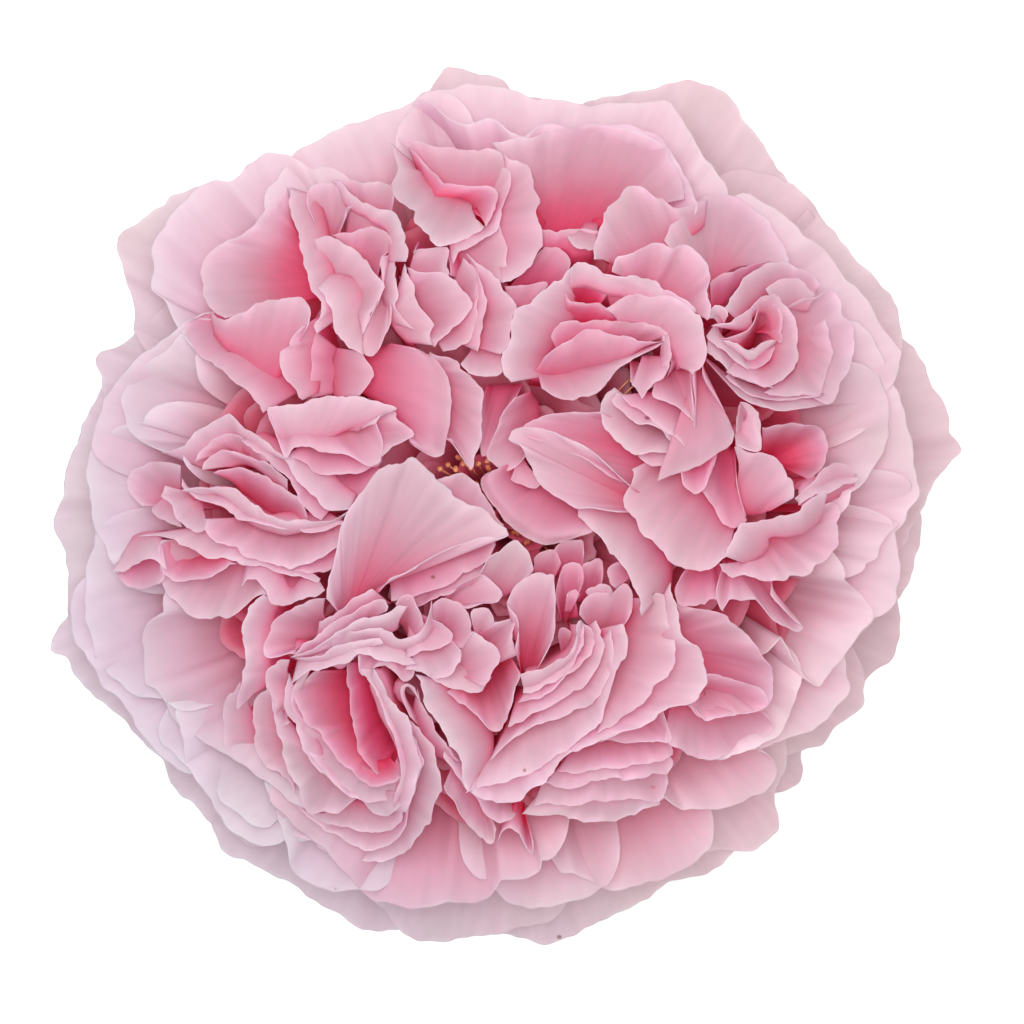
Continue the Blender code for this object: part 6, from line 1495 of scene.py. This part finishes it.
styles = []
for number in range(heart["styles"]):
    turn = number * heart["step"]
    far = heart["styleSpread"] * math.sqrt((number + 0.5) / heart["styles"])
    t = np.linspace(0.0, 1.0, heart["styleRings"])[:, None]
    plan = far * np.array([math.cos(turn), math.sin(turn)]) * blendTo(1.0, 0.7, t)
    top = heart["styleTop"] - 0.8 * far
    styles.append(np.column_stack([plan, blendTo(bloom["hipTop"] + 0.2, top, t[:, 0])]))
swollen = heart["styleRadius"] * np.r_[np.ones(heart["styleRings"] - 2), 1.5, 1.0]
piece = addMesh("styles", *tubes(styles, [swollen] * len(styles)), "style")
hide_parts("style_column")
print("hip, stem, sepals, stamens and styles made")

# floor, lights and camera (metres, watts; the skylight in watts per square metre); framed is the width seen
studio = {
    "floorHalf": 3.0, "paper": 0.9, "paperGlow": 0.5, "world": 0.67,
    "softbox": {"power": 3.7, "size": 0.5, "place": (-0.16, 0.28, 1.0), "aim": (0.0, 0.0, 0.03)},
    "skylight": {"power": 1.05, "angle": 0.3, "place": (0.0, 0.0, 1.2)},
    "camera": {"distance": 2.6, "height": 0.03, "framed": 0.1024, "sensor": 36.0,
               "middle": (0.0007, -0.00045)},
}
floorMesh = bpy.data.meshes.new("floor")
half = studio["floorHalf"]
corners = [(-half, -half, 0), (half, -half, 0), (half, half, 0), (-half, half, 0)]
floorMesh.from_pydata(corners, [], [(0, 1, 2, 3)])
floor = bpy.data.objects.new("floor", floorMesh)
bpy.context.scene.collection.objects.link(floor)

# white paper, lifted a little where the camera sees it so that the ground stays white
paper = bpy.data.materials.new("white paper")
paper.use_nodes = True
paperNodes, paperLinks = paper.node_tree.nodes, paper.node_tree.links
sheetShader = paperNodes["Principled BSDF"]
sheetShader.inputs["Base Color"].default_value = (*[studio["paper"]] * 3, 1.0)
sheetShader.inputs["Specular IOR Level"].default_value = 0.0
seen = paperNodes.new("ShaderNodeLightPath")
seenOnly = paperNodes.new("ShaderNodeMath")
seenOnly.operation = "MULTIPLY"
seenOnly.inputs[1].default_value = studio["paperGlow"]
paperGlow = paperNodes.new("ShaderNodeEmission")
both = paperNodes.new("ShaderNodeAddShader")
paperLinks.new(seen.outputs["Is Camera Ray"], seenOnly.inputs[0])
paperLinks.new(seenOnly.outputs[0], paperGlow.inputs["Strength"])
paperLinks.new(sheetShader.outputs[0], both.inputs[0])
paperLinks.new(paperGlow.outputs[0], both.inputs[1])
paperLinks.new(both.outputs[0], paperNodes["Material Output"].inputs[0])
floorMesh.materials.append(paper)

world = bpy.data.worlds.new("studio")
bpy.context.scene.world = world
world.use_nodes = True
background = world.node_tree.nodes["Background"]
background.inputs["Color"].default_value = (1, 1, 1, 1)
background.inputs["Strength"].default_value = studio["world"]

box = studio["softbox"]
softbox = bpy.data.lights.new("softbox", "AREA")
softbox.shape = "SQUARE"
softbox.size = box["size"]
softbox.energy = box["power"]
softboxObject = bpy.data.objects.new("softbox", softbox)
softboxObject.location = box["place"]
softboxObject.rotation_mode = "QUATERNION"
softboxObject.rotation_quaternion = (Vector(box["place"]) - Vector(box["aim"])).to_track_quat("Z", "Y")
bpy.context.scene.collection.objects.link(softboxObject)

# a broad, weak light straight down that reaches between the petals
skylight = bpy.data.lights.new("skylight", "SUN")
skylight.energy = studio["skylight"]["power"]
skylight.angle = studio["skylight"]["angle"]
skylightObject = bpy.data.objects.new("skylight", skylight)
skylightObject.location = studio["skylight"]["place"]
bpy.context.scene.collection.objects.link(skylightObject)

view = studio["camera"]
lens = bpy.data.cameras.new("camera")
lens.sensor_width = view["sensor"]
lens.lens = view["sensor"] * view["distance"] / view["framed"]
lens.clip_end = 10.0
camera = bpy.data.objects.new("camera", lens)
camera.location = (*view["middle"], view["distance"] + view["height"])
bpy.context.scene.collection.objects.link(camera)
bpy.context.scene.camera = camera
bpy.context.scene.view_settings.view_transform = "Standard"
print("floor, lights and camera made")
